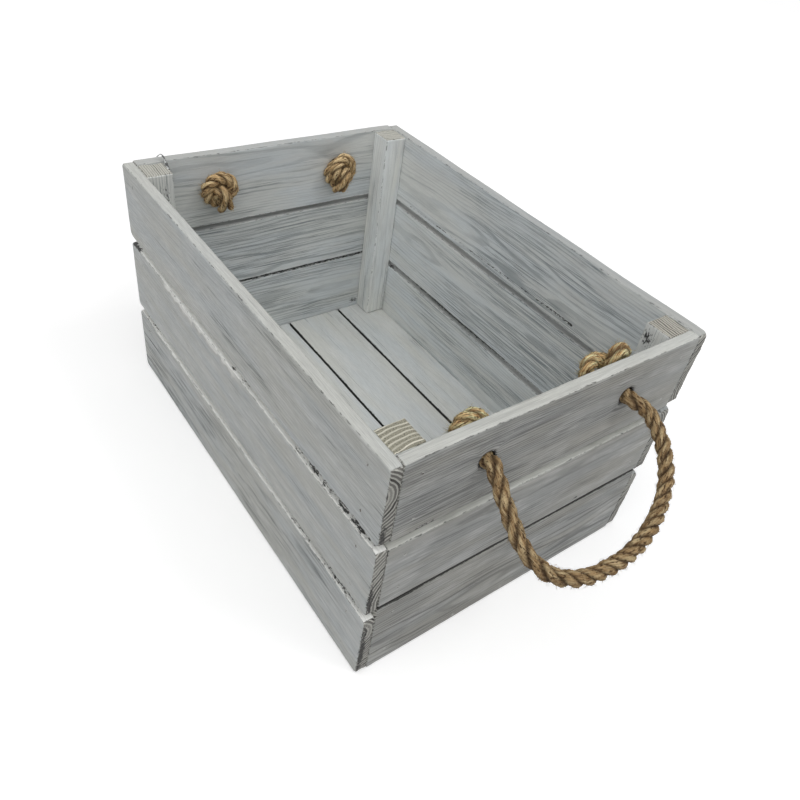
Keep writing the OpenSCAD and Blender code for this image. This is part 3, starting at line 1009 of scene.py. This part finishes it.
# whitewashed wood: thin paint with the grain showing through
washBase = {
    "paint": (200, 201, 200),
    "coolShift": (-2, 0, 2),
    "warmShift": (1, 0, -3),
    "pale": (216, 217, 215),
    "stain": (112, 119, 122),
    "deep": (15, 14, 13),
    "rim": (218, 219, 213),
    "thickPaint": (1, 1, 0.97, 1),
    "endGround": (198, 197, 190),
    "endSpecks": (70, 67, 58),
    "endLine": (34, 31, 28),
    "endShare": 0.5,  # how much of each ring the line takes
    "endSpacing": 3.5,
    "endSpeckle": 0.35,
    "ringSpacing": 3.1,
    "ringShare": 0.22,
    "ringLines": 0.3,
    "longLines": 0.55,
    "strokeDepth": 0.85,
    "rubDepth": 0.3,  # how much grey the rubbed places take all over
    "fine": 0.2,
    "wear": 0.06,
    "markDepth": 0.93,
    "bump": 0.5,
    "bumpDepth": 0.0006,
}
# the walls share one whitewash: the back and left walls are lighter, their rims and the right end darker,
# partly as painted light and shade
washFinishes = {
    "frontWash": {"paint": (197, 199, 197), "stain": (110, 114, 114), "rim": (200, 201, 196),
                  "rubDepth": 0.14, "fine": 0.48, "strokeDepth": 1.0},
    "rightWash": {"paint": (174, 174, 171), "stain": (98, 99, 97), "ringLines": 0.65, "ringSpacing": 2.6,
                  "fine": 0.32, "rubDepth": 0.34, "strokeDepth": 0.62},
    "leftWash": {"paint": (214, 217, 217), "stain": (122, 129, 132), "rim": (172, 173, 170),
                 "ringLines": 0.6, "ringSpacing": 2.7},
    "backWash": {"paint": (224, 227, 227), "stain": (132, 140, 144), "rim": (160, 161, 158),
                 "ringLines": 0.6, "ringSpacing": 2.7},
    "floorWash": {"paint": (207, 209, 207), "ringLines": 0.15, "fine": 0.27},
    "postWash": {"paint": (238, 240, 238), "endGround": (206, 205, 196), "endLine": (122, 121, 112),
                 "endShare": 0.4, "endSpacing": 2.4},
    "nearPostWash": {"paint": (230, 233, 231), "endGround": (158, 155, 138), "endLine": (236, 232, 216),
                     "endShare": 0.24, "endSpacing": 3.7, "endSpeckle": 0.9},
    "farPostWash": {"paint": (238, 240, 238), "endGround": (200, 197, 186), "endLine": (58, 55, 49),
                    "endShare": 0.46, "endSpacing": 2.9},
}
washStrokes = {  # length, width and softness
    "short": (64.0, 0.85, 0.06),
    "broad": (110.0, 2.6, 0.12),
    "long": (150.0, 0.75, 0.04),
    "hair": (12.0, 0.45, 0.07),
}


def washMaterial(name, changes):
    spec = {**washBase, **changes}
    shifted = lambda key: paint(*(a + b for a, b in zip(spec["paint"], spec[key])))
    material, tree, shader = newMaterial(name)
    place = addNode(tree, "ShaderNodeAttribute", attribute_name="woodPos").outputs["Vector"]
    edge, endFace, rimFace, dark, rubbed = pointMasks(tree, "edge", "endFace", "rimFace", "dark", "rubbed")
    rings = useGroup(tree, ringGroup, {"Position": place, "Spacing": spec["ringSpacing"], "Wobble": 3.0,
                                       "Thickness": spec["ringShare"]})
    sawnRings = useGroup(tree, ringGroup, {"Position": place, "Spacing": spec["endSpacing"], "Wobble": 2.0,
                                           "Thickness": spec["endShare"]})
    tone = useGroup(tree, patchGroup, {"Position": place, "Along": 120.0, "Across": 20.0})
    cloud = useGroup(tree, patchGroup, {"Position": place, "Along": 50.0, "Across": 14.0})
    thin = band(tree, swing(tree, tone["Patch"], 2.6, rubbed), 0.2, 0.85)  # where the paint is rubbed thin

    def streak(stroke, amount):
        length, width, soft = washStrokes[stroke]
        return useGroup(tree, streakGroup, {"Position": place, "Radius": rings["Radius"], "Length": length,
                                            "Width": width, "Amount": amount, "Softness": soft})

    def whereThin(depth, share):  # a depth, of which the rubbed places alone have a share
        return calc(tree, "MULTIPLY_ADD", thin, share * depth, (1 - share) * depth)

    short = streak("short", calc(tree, "MULTIPLY_ADD", thin, 0.42, 0.18))
    broad = streak("broad", calc(tree, "MULTIPLY_ADD", thin, 0.5, 0.0))
    long = streak("long", 0.22)
    hair = streak("hair", 0.5)

    color = mixColor(tree, tone["Tint"], shifted("coolShift"), shifted("warmShift"))
    color = mixColor(tree, band(tree, cloud["Patch"], 0.45, 0.7, 0.0, 0.5), color, paint(*spec["pale"]))
    lines = calc(tree, "MULTIPLY", short["Streak"], whereThin(spec["strokeDepth"], 0.75))
    lines = calc(tree, "MAXIMUM", lines, calc(tree, "MULTIPLY", long["Streak"], spec["longLines"]))
    ringLines = calc(tree, "MULTIPLY", rings["Line"], whereThin(spec["ringLines"], 0.6))
    lines = calc(tree, "MAXIMUM", lines, ringLines)
    rub = calc(tree, "MULTIPLY_ADD", broad["Streak"], 0.7, 0.3)
    rub = calc(tree, "MULTIPLY", rub, calc(tree, "MULTIPLY", thin, spec["rubDepth"]))
    lines = calc(tree, "ADD", lines, calc(tree, "MULTIPLY", rub, calc(tree, "SUBTRACT", 1.0, lines)))
    # the narrow faces: thicker paint, with a painted highlight where they face up
    color = mixColor(tree, calc(tree, "MULTIPLY", rimFace, 0.7), color, paint(*spec["rim"]))
    color = mixColor(tree, band(tree, rimFace, 1.0, 2.0), color, spec["thickPaint"])
    lines = calc(tree, "MULTIPLY", lines, calc(tree, "MULTIPLY_ADD", rimFace, -0.55, 1.0))
    color = mixColor(tree, lines, color, paint(*spec["stain"]))
    shade = swing(tree, hair["Raw"], spec["fine"] * 2, 1.0)
    shade = addNode(tree, "ShaderNodeCombineColor", {part: shade for part in range(3)}).outputs[0]
    color = mixColor(tree, 1.0, color, shade, "MULTIPLY")

    speck = noiseAt(tree, place, (300, 900, 900), 3.0, 0.7)
    specks = band(tree, speck, 0.42, 0.7, 0.0, spec["endSpeckle"])
    sawn = mixColor(tree, specks, paint(*spec["endGround"]), paint(*spec["endSpecks"]))
    sawn = mixColor(tree, sawnRings["Line"], sawn, paint(*spec["endLine"]))
    wrapped = band(tree, swing(tree, speck, 0.5, edge), 0.85, 1.05)  # paint that has come round the edge
    sawn = mixColor(tree, calc(tree, "MULTIPLY", wrapped, 0.5), sawn, paint(*spec["rim"]))
    color = mixColor(tree, endFace, color, sawn)

    worn = {"Position": place, "Edge": edge, "Reach": spec["wear"], "Size": 2.6}
    nicks = useGroup(tree, wearGroup, worn)["Worn"]
    # dark marks take the deep colour: stains, chips and nicks, and painted shade in seams, nail dents and
    # rope holes
    rough = noiseAt(tree, place, (260, 800, 800), 3.0, 0.65)
    torn = band(tree, swing(tree, rough, 1.9, dark), 0.42, 0.62)
    marks = calc(tree, "MAXIMUM", torn, calc(tree, "MULTIPLY", nicks, 0.7))
    color = mixColor(tree, calc(tree, "MULTIPLY", marks, spec["markDepth"]), color, paint(*spec["deep"]))

    gloss = calc(tree, "MULTIPLY_ADD", lines, 0.2, calc(tree, "MULTIPLY_ADD", hair["Raw"], 0.2, 0.5))
    height = calc(tree, "MULTIPLY_ADD", lines, -0.6, calc(tree, "MULTIPLY", hair["Raw"], 0.5))
    height = calc(tree, "MULTIPLY_ADD", marks, -0.8, height)
    height = calc(tree, "MULTIPLY_ADD", calc(tree, "MULTIPLY", sawnRings["Line"], endFace), -0.7, height)
    dressShader(tree, shader, color, gloss, height, spec["bump"], spec["bumpDepth"])
    shader.inputs["Specular IOR Level"].default_value = 0.35
    return material


washes = {name: washMaterial(name, changes) for name, changes in washFinishes.items()}
print("wood finishes made")

# the wooden pieces, in millimetres; pith is where the tree's heart would lie, across and through
sideOrder, endOrder, floorOrder, postOrder = (0, 2, 1), (1, 2, 0), (0, 1, 2), (2, 0, 1)
nailPlaces = {"fromEdge": 16.0, "sides": (-206, 206), "ends": (-135.5, 135.5), "floor": (0, -58.5, 58.5),
              "floorLevel": 4.5}
ropeHoles = [(y, handle["holeZ"], handle["holeRadius"]) for y in handle["holeY"]]


def alongBoard(pointName, node, axis):  # the photo's point on a board, as millimetres along it
    return placeOnPhoto(pointName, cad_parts[node])[0][axis] / mm


pastPoint = {"chipStart": 12, "chipEnd": 4, "farChipStart": 4, "backSplit": 19}  # how far a mark goes on
tornEdge = {"edge": (0, 0), "from": alongBoard("chipStart", "front_upper_board", 0) - pastPoint["chipStart"],
            "to": alongBoard("chipEnd", "front_upper_board", 0) + pastPoint["chipEnd"],
            "up": 2.4, "in": 3.0, "depth": 1.2, "stain": 2.6}
farStart = alongBoard("farChipStart", "front_middle_board", 0)
farTear = {"edge": (1, 0), "from": farStart - pastPoint["farChipStart"], "to": farStart + 26,
           "up": 1.8, "in": 2.2, "depth": 1.2, "stain": 4.0}
# painted shadow at the end of the back seam's line, on a small nick
seamShadowAt = alongBoard("backSplit", "back_upper_board", 0)
backSplit = {"edge": (0, 0), "from": seamShadowAt - pastPoint["backSplit"], "to": seamShadowAt + pastPoint["backSplit"],
             "up": 0.4, "in": 1.2, "depth": 0.3, "stain": 0.6}
seamShadowLine = {  # a painted shadow line over the back seam, that ends in a darker painted shadow
    "from": (-173, 175.4),
    "to": (backSplit["to"] + 0.6, 179.6),
    "wideAt": (0, 0.8, 0.9, 1),
    "wide": (1.1, 1.2, 1.9, 1.9),
    "deepAt": (-0.01, 0.03, 0.8, 0.88, 0.97, 0.999, 1.003),
    "deep": (0, 0.53, 0.53, 0.6, 0.64, 0.9, 0),
}
lowTear = {"edge": (0, 0), "from": 92, "to": 220, "up": 0.9, "in": 1.6, "depth": 0.7, "stain": 3.4}
knotMark = alongBoard("woodKnot", "right_middle_board", 1), alongBoard("woodKnot", "right_middle_board", 2)
sliver = {"line": [(15.5, -0.3, -0.4), (5.2, 1.0, 3.0), (-4.1, 0.7, 6.5), (-2.2, -4.7, 5.5)],
          "thick": (1.5, 1.4, 1.1, 0.6)}


def seamDirtAndShade(level, spots):  # dark residue and painted shade on the top of a front board, in the seam under the board above
    return [((x, level, -158), (length, 3, 4.5), amount) for x, length, amount in spots]


planks = {
    "frontUpperPlank": {"node": "front_upper_board", "pith": (52, -14), "corners": (7, 5, 5, 4),
                        "rubbed": (0.05, 0.2, 0.35, 0.3), "chips": [tornEdge],
                        "stains": [((230, 183, -160.5), (2.5, 14, 3.4), 0.8)]},
    "frontMiddlePlank": {"node": "front_middle_board", "pith": (9, 57), "corners": (5, 5, 5, 4),
                         "rubbed": (0.0, 0.15, 0.3, 0.25), "chips": [farTear, lowTear], "rim": (1, 1.62),
                         "ridge": (10.0, -160, 70),
                         "stains": seamDirtAndShade(164.25, [
                             (204, 16, 0.95), (182, 13, 0.85), (160, 14, 0.68), (140, 12, 0.7),
                             (118, 14, 0.6), (27, 8, 0.7), (5, 4, 0.9),
                         ]) + [((230, 106, -161.5), (2.5, 26, 2.6), 0.85)]},
    "frontLowerPlank": {"node": "front_lower_board", "pith": (62, -9), "corners": (6, 5, 5, 5),
                        "rubbed": (0.5, 0.5, 0.4, 0.3), "rim": (1, 1.62), "ridge": (2.6, -200, 20),
                        "stains": seamDirtAndShade(78.5, [(190, 32, 0.7), (125, 30, 0.6), (-190, 30, 0.6)])
                        + [((230, 36, -161), (2.5, 44, 3.0), 0.88), ((0, 0, -163), (99999, 1.5, 2), 0.4)]},
    "backUpperPlank": {"node": "back_upper_board", "pith": (22, 40), "corners": (6, 6, 5, 6),
                       "rubbed": (0.15, 0.4, 0.85, 0.6, 0.25), "edgeRadius": 0.7,
                       "chips": [backSplit], "groove": seamShadowLine},
    "backMiddlePlank": {"node": "back_middle_board", "pith": (50, -30), "corners": (5, 6, 5, 6),
                        "rubbed": (0.1, 0.45, 0.8, 0.9, 0.8), "edgeRadius": 0.7, "taller": 0.8,
                        # painted shade on the top of the middle back board, in the upper seam
                        "stains": [((0, 164.5, 160.2), (99999, 3, 2.6), 0.3)]},
    "backLowerPlank": {"node": "back_lower_board", "pith": (10, 55), "corners": (6, 6, 5, 5),
                       "rubbed": (0.1, 0.6, 0.6, 0.5),
                       # the first mark is painted shade on the top of the lower back board, in the lower seam
                       "stains": [((-60, 78.5, 160.2), (130, 3, 2.6), 0.85),
                                  ((-188, 79, 154), (5, 3, 4), 0.9)]},
    "rightUpperPlank": {"node": "right_upper_board", "pith": (150, -10), "holes": ropeHoles,
                        "rubbed": (0.95, 0.8, 0.1), "stains": [((-124, 173.4, 230), (16, 1.6, 3), 0.7),
                                                               ((-104, 172.5, 230), (5, 1.0, 3), 0.6)]},
    "rightMiddlePlank": {"node": "right_middle_board", "pith": (60, 38), "rubbed": (0.35, 0.35, 0.25),
                         "seams": (0.95, 0),
                         "stains": [((*knotMark, 230), (11, 1.0, 3), 0.42),
                                    ((64.7, 95.6, 230), (5, 0.7, 3), 0.7)]},
    "rightLowerPlank": {"node": "right_lower_board", "pith": (30, 50), "rubbed": (0.8, 0.75, 0.7),
                        "seams": (0, 0.95), "stains": [((-128, 88.6, 230), (26, 2.2, 4), 0.9)]},
    "leftUpperPlank": {"node": "left_upper_board", "pith": (64, 52), "holes": ropeHoles,
                       "rubbed": (0.45, 0.3, 0.35), "seams": (0.5, 0), "edgeRadius": 0.8},
    "leftMiddlePlank": {"node": "left_middle_board", "pith": (20, -36), "rubbed": (0.85, 0.85, 0.7),
                        "seams": (0.55, 0), "edgeRadius": 0.8},
    "leftLowerPlank": {"node": "left_lower_board", "pith": (50, 44), "rubbed": (0.5, 0.65, 0.2),
                       "seams": (0, 0.55), "stains": [((119, 17, -219), (7, 5, 3), 0.68)]},
    "frontFloorPlank": {"node": "front_floor_board", "pith": (20, 42), "seams": (0, 0.95)},
    "frontInnerFloorPlank": {"node": "front_inner_floor_board", "pith": (45, -50), "seams": (0.95, 0.95)},
    "centreFloorPlank": {"node": "centre_floor_board", "pith": (12, 38), "seams": (0.95, 0.95)},
    "backInnerFloorPlank": {"node": "back_inner_floor_board", "pith": (30, 47), "seams": (0.95, 0.95)},
    "backFloorPlank": {"node": "back_floor_board", "pith": (44, -44), "seams": (0.95, 0)},
    "frontRightPost": {"node": "front_right_post", "pith": (95, 20), "finish": "nearPostWash"},
    "backRightPost": {"node": "back_right_post", "pith": (13, 100), "finish": "farPostWash",
                      "stains": [((236, 199, 126.5), (9, 6, 4), 0.75)]},
    "frontLeftPost": {"node": "front_left_post", "pith": (10, -90), "rubbed": (0.5, 0.6),
                      "stains": [((222, -193, -137), (17, 3, 7), 0.56)]},
    "backLeftPost": {"node": "back_left_post", "pith": (-30, 38), "rubbed": (0.4, 0.3)},
}


def makePlank(name, spec, seed):
    node = spec["node"]
    side = node.split("_")[0]
    extra = {key: value for key, value in spec.items() if key not in ("node", "finish")}
    extra.setdefault("corners", (1.5,) * 4)
    extra.setdefault("rubbed", (0.15, 0.15))
    low, high = [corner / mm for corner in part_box(node)]
    up = nailPlaces["fromEdge"]
    if node.endswith("post"):
        order, slot, finish = postOrder, "post_wood", spec.get("finish", "postWash")
        extra.update(edgeRadius=1.3, endRough=0.4, nicks=0.3)
    elif "floor" in node:
        order, slot, finish = floorOrder, "floor_wood", "floorWash"
    elif side in ("front", "back"):
        order, slot, finish = sideOrder, "side_board_wood", side + "Wash"
        dents = [(x, z) for x in nailPlaces["sides"] for z in (low.z + up, high.z - up)]
        extra.update(outer=0 if side == "front" else 1, dents=dents)
    else:
        order, slot, finish = endOrder, "end_board_wood", side + "Wash"
        dents = [(y, z) for y in nailPlaces["ends"] for z in (low.z + up, high.z - up)]
        if "lower" in node:
            dents += [(y, nailPlaces["floorLevel"]) for y in nailPlaces["floor"]]
        extra.update(outer=0 if side == "left" else 1, dents=dents)
    spots, faces, masks, vectors = plankShape(node, order, seed, **extra)
    if node == "front_left_post":
        spots, faces, masks, vectors = addSliver(spots, faces, masks, vectors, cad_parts[node])
    if order == postOrder:
        masks["rimFace"] = 0 * masks["rimFace"]
    piece = meshObject(name, spots, faces, masks, vectors)
    piece.data.materials.append(washes[finish])
    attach(piece, "crate")
    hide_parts(node)
    return piece


woodPieces = {name: makePlank(name, spec, 3 + 7 * k) for k, (name, spec) in enumerate(planks.items())}
print("planks, floor and posts made:", sum(len(p.data.vertices) for p in woodPieces.values()), "points")

# jute
juteLook = {
    "light": (236, 211, 164),
    "middle": (196, 162, 115),
    "dark": (116, 86, 54),
    "hollow": (66, 47, 31),
    "fleck": (78, 56, 36),
    "hollowDepth": 0.74,  # painted shade between the strands
    # painted shade between the yarns
    "yarnDepth": 0.3,
    "bump": 1.0,
    "bumpDepth": 0.0011,
}
juteTones = {"handleJute": 0.89, "knotJute": 1.07, "paleJute": 1.24}  # the loops darker, the right knots paler


def juteMaterial(name, tone):
    tones = {key: paint(*(min(255, tone * c) for c in juteLook[key])) for key in
             ("light", "middle", "dark", "hollow", "fleck")}
    material, tree, shader = newMaterial(name)
    place = addNode(tree, "ShaderNodeAttribute", attribute_name="ropePos").outputs["Vector"]
    hollow, yarn, shade = pointMasks(tree, "hollow", "yarn", "shade")
    fibres = noiseAt(tree, place, (150, 1000, 1000), 3.0, 0.7)
    clumps = noiseAt(tree, place, (60, 380, 450))
    slow = noiseAt(tree, place, (28, 60, 90))
    flecks = noiseAt(tree, place, (300, 620, 700), 2.0, 0.6)
    color = mixColor(tree, band(tree, fibres, 0.42, 0.56), tones["dark"], tones["middle"])
    for amount, coat in (
        (calc(tree, "MULTIPLY", shade, 0.35), "light"),
        (band(tree, clumps, 0.45, 0.66), "light"),
        (band(tree, flecks, 0.56, 0.64, 0.0, 0.95), "fleck"),
        (band(tree, slow, 0.55, 0.75, 0.0, 0.35), "dark"),
        # painted shade between the yarns and between the strands
        (calc(tree, "MULTIPLY", yarn, juteLook["yarnDepth"]), "dark"),
        (calc(tree, "MULTIPLY", hollow, juteLook["hollowDepth"]), "hollow"),
    ):
        color = mixColor(tree, amount, color, tones[coat])
    roughness = calc(tree, "MULTIPLY_ADD", fibres, 0.3, 0.62)
    height = calc(tree, "MULTIPLY_ADD", fibres, 1.0, calc(tree, "MULTIPLY", clumps, 0.6))
    dressShader(tree, shader, color, roughness, height, juteLook["bump"], juteLook["bumpDepth"])
    shader.inputs["Specular IOR Level"].default_value = 0.25
    return material


jutes = {name: juteMaterial(name, tone) for name, tone in juteTones.items()}
for piece in (rightHandle, leftHandle):
    piece.data.materials.append(jutes["handleJute"])
for name, piece in knotPieces.items():
    piece.data.materials.append(jutes["paleJute" if "Right" in name else "knotJute"])
print("jute made")

# nail heads, sunk in the wood and brushed over with paint
nailLook = {
    "steel": (92, 90, 87),
    "rust": (96, 84, 74),
    "paint": (190, 191, 188),
    "painted": 0.62,  # share of the heads under paint
    "bump": 0.4,
    "bumpDepth": 0.0003,
}


def nailMaterial():
    material, tree, shader = newMaterial("paintedNail")
    place = inMillimetres(tree, addNode(tree, "ShaderNodeNewGeometry").outputs["Position"])
    coarse = noiseAt(tree, place, (0.45,) * 3, 2.0, 0.6)
    fine = noiseAt(tree, place, (2.4,) * 3, 3.0, 0.65)
    color = mixColor(tree, band(tree, fine, 0.45, 0.65), paint(*nailLook["steel"]), paint(*nailLook["rust"]))
    bare = 1 - nailLook["painted"]
    brushed = band(tree, coarse, bare, bare + 0.08)
    color = mixColor(tree, brushed, color, paint(*nailLook["paint"]))
    roughness = calc(tree, "MULTIPLY_ADD", fine, 0.3, 0.35)
    tree.links.new(calc(tree, "MULTIPLY_ADD", brushed, -0.7, 0.75), shader.inputs["Metallic"])
    dressShader(tree, shader, color, roughness, fine, nailLook["bump"], nailLook["bumpDepth"])
    return material


nailSteel = nailMaterial()
for node in ("front_nails", "back_nails", "right_nails", "left_nails", "floor_nails"):
    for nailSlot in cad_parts[node].material_slots:
        nailSlot.material = nailSteel
print("nails finished")

# floor, lamps and surroundings
studio = {
    "ambient": 0.12,
    "lamps": {  # strength, direction towards the lamp, how wide it is in degrees
        "topLamp": (0.95, (0, 0, 1), 70),
        "frontLamp": (0.5, (0.1, -0.75, 0.5), 90),
        "sideLamp": (1.0, (0.5, -0.45, 0.75), 80),
        "keyLamp": (0.5, (0.5, 0.4, 0.8), 20),
    },
    "floorSize": 3.0,
    "floorDepth": -0.0004,  # just under the crate
    "floorTone": 0.35,
    "floorSeen": 0.9,
    "floorGlow": 0.3,
    "background": 1.0,
}


def seenDirectly(tree):  # by the camera, in gloss or through glass
    light = addNode(tree, "ShaderNodeLightPath").outputs
    return calc(tree, "MAXIMUM", light["Is Camera Ray"], calc(
        tree, "MAXIMUM", light["Is Glossy Ray"], light["Is Transmission Ray"]))


def grey(tone):
    return tone, tone, tone, 1


def makeFloor():
    size, level = studio["floorSize"], studio["floorDepth"]
    corners = [(x * size, y * size, level) for x, y in ((-1, -1), (1, -1), (1, 1), (-1, 1))]
    floor = meshObject("paleFloor", corners, [(0, 1, 2, 3)])
    material = bpy.data.materials.new("paleFloor")
    material.use_nodes = True
    tree = material.node_tree
    tree.nodes.clear()
    out = tree.nodes.new("ShaderNodeOutputMaterial")
    plain = addNode(tree, "ShaderNodeBsdfDiffuse", {"Color": grey(studio["floorTone"])})
    seen = addNode(tree, "ShaderNodeBsdfDiffuse", {"Color": grey(studio["floorSeen"])})
    glow = addNode(tree, "ShaderNodeEmission", {"Color": grey(1), "Strength": studio["floorGlow"]})
    bright = addNode(tree, "ShaderNodeAddShader", {0: seen.outputs[0], 1: glow.outputs[0]})
    shaders = {0: seenDirectly(tree), 1: plain.outputs[0], 2: bright.outputs[0]}
    tree.links.new(addNode(tree, "ShaderNodeMixShader", shaders).outputs[0], out.inputs[0])
    floor.data.materials.append(material)


def makeLamp(name, strength, direction, angle):
    lamp = bpy.data.lights.new(name, "SUN")
    lamp.energy = strength
    lamp.angle = math.radians(angle)
    item = bpy.data.objects.new(name, lamp)
    item.rotation_mode = "QUATERNION"
    item.rotation_quaternion = Vector(direction).to_track_quat("Z", "Y")
    bpy.context.scene.collection.objects.link(item)


def makeWorld():
    world = bpy.data.worlds.new("studio")
    bpy.context.scene.world = world
    world.use_nodes = True
    tree = world.node_tree
    tree.nodes.clear()
    out = tree.nodes.new("ShaderNodeOutputWorld")
    around, white = [addNode(tree, "ShaderNodeBackground", {"Color": grey(1), "Strength": studio[part]})
                     for part in ("ambient", "background")]
    shaders = {0: seenDirectly(tree), 1: around.outputs[0], 2: white.outputs[0]}
    tree.links.new(addNode(tree, "ShaderNodeMixShader", shaders).outputs[0], out.inputs[0])


makeFloor()
for lampName, (strength, direction, angle) in studio["lamps"].items():
    makeLamp(lampName, strength, direction, angle)
makeWorld()
bpy.context.scene.view_settings.view_transform = "Standard"
print("studio made")

# how far each finished thing shows from its point in the photo
finished = [*woodPieces.values(), rightHandle, leftHandle, *knotPieces.values()]
finishedTree = meshTree(*finished)
cornerPlaces = {  # the pieces' corners and marks, in millimetres
    "nearTop": ("frontUpperPlank", (230, -163, 250)),
    "rightTop": ("backUpperPlank", (230, 163, 250)),
    "leftTop": ("frontUpperPlank", (-230, -163, 250)),
    "backTop": ("backUpperPlank", (-230, 163, 250)),
    "rightBottom": ("backLowerPlank", (230, 163, 0)),
    "leftBottom": ("frontLowerPlank", (-230, -163, 0)),
    "chipStart": ("frontUpperPlank", (tornEdge["from"] + pastPoint["chipStart"], -163, 172)),
    "chipEnd": ("frontUpperPlank", (tornEdge["to"] - pastPoint["chipEnd"], -163, 172)),
    "farChipStart": ("frontMiddlePlank", (farStart, -163, 164)),
    "backSplit": ("backUpperPlank", (seamShadowAt, 152.5, 172)),
    "woodKnot": ("rightMiddlePlank", (230, *knotMark)),
}
sightGap = 0.0012  # metres by which a spot may lie behind what shows
outermost, nearest = 400, 80  # vertices tried for an edge and for a corner
ropeHoleRim = {"reach": 8.3, "outside": 0.2275}


def vertexSpots(item):
    spots = np.zeros(len(item.data.vertices) * 3)
    item.data.vertices.foreach_get("co", spots)
    axes = np.array(item.matrix_world)
    return spots.reshape(-1, 3) @ axes[:3, :3].T + axes[:3, 3]


def showing(spots):  # those with nothing finished between them and the camera
    eye = camera.matrix_world.translation
    kept = []
    for spot in spots:
        way = Vector(spot) - eye
        if finishedTree.ray_cast(eye, way.normalized(), way.length - sightGap)[0] is None:
            kept.append(spot)
    return np.array(kept) if kept else np.asarray(spots)


def edgeOffset(pointName, axis, sign):  # by the outermost vertex that shows
    spots = np.concatenate([vertexSpots(piece) for piece in woodPieces.values()])
    outer = spots[np.argsort(sign * photoSpots(spots)[:, axis])[-outermost:]]
    away = sign * float(np.max(sign * photoSpots(showing(outer))[:, axis])) - imagePoints[pointName]
    return [None, round(away, 2)] if axis else [round(away, 2), None]


def nearOffset(pointName, item, place):  # by the vertex that shows nearest a place
    spots = vertexSpots(item)
    near = spots[np.argsort(np.linalg.norm(spots - np.array(place) * mm, axis=1))[:nearest]]
    return np.round(photoSpots(showing(near))[0] - imagePoints[pointName], 2).tolist()


def middleOffset(pointName, spots):  # by the middle of what shows
    seen = photoSpots(showing(spots))
    return np.round((seen.min(0) + seen.max(0)) / 2 - imagePoints[pointName], 2).tolist()


def holeRim(y):
    spots = vertexSpots(woodPieces["rightUpperPlank"])
    away = np.hypot(spots[:, 1] / mm - y, spots[:, 2] / mm - handle["holeZ"])
    return spots[(away < ropeHoleRim["reach"]) & (spots[:, 0] > ropeHoleRim["outside"])]


offsets = {
    "leftEdge": edgeOffset("leftEdge", 0, -1),
    "rightEdge": edgeOffset("rightEdge", 0, 1),
    "topEdge": edgeOffset("topEdge", 1, -1),
    "bottomEdge": edgeOffset("bottomEdge", 1, 1),
    "frontHole": middleOffset("frontHole", holeRim(-75)),
    "backHole": middleOffset("backHole", holeRim(75)),
    "splinter": middleOffset("splinter", vertexSpots(woodPieces["frontLeftPost"])[-100:]),
}
for pointName, (piece, place) in cornerPlaces.items():
    offsets[pointName] = nearOffset(pointName, woodPieces[piece], place)
for pointName in ("frontLeftKnot", "backLeftKnot"):
    offsets[pointName] = middleOffset(pointName, vertexSpots(knotPieces[pointName])[::3])
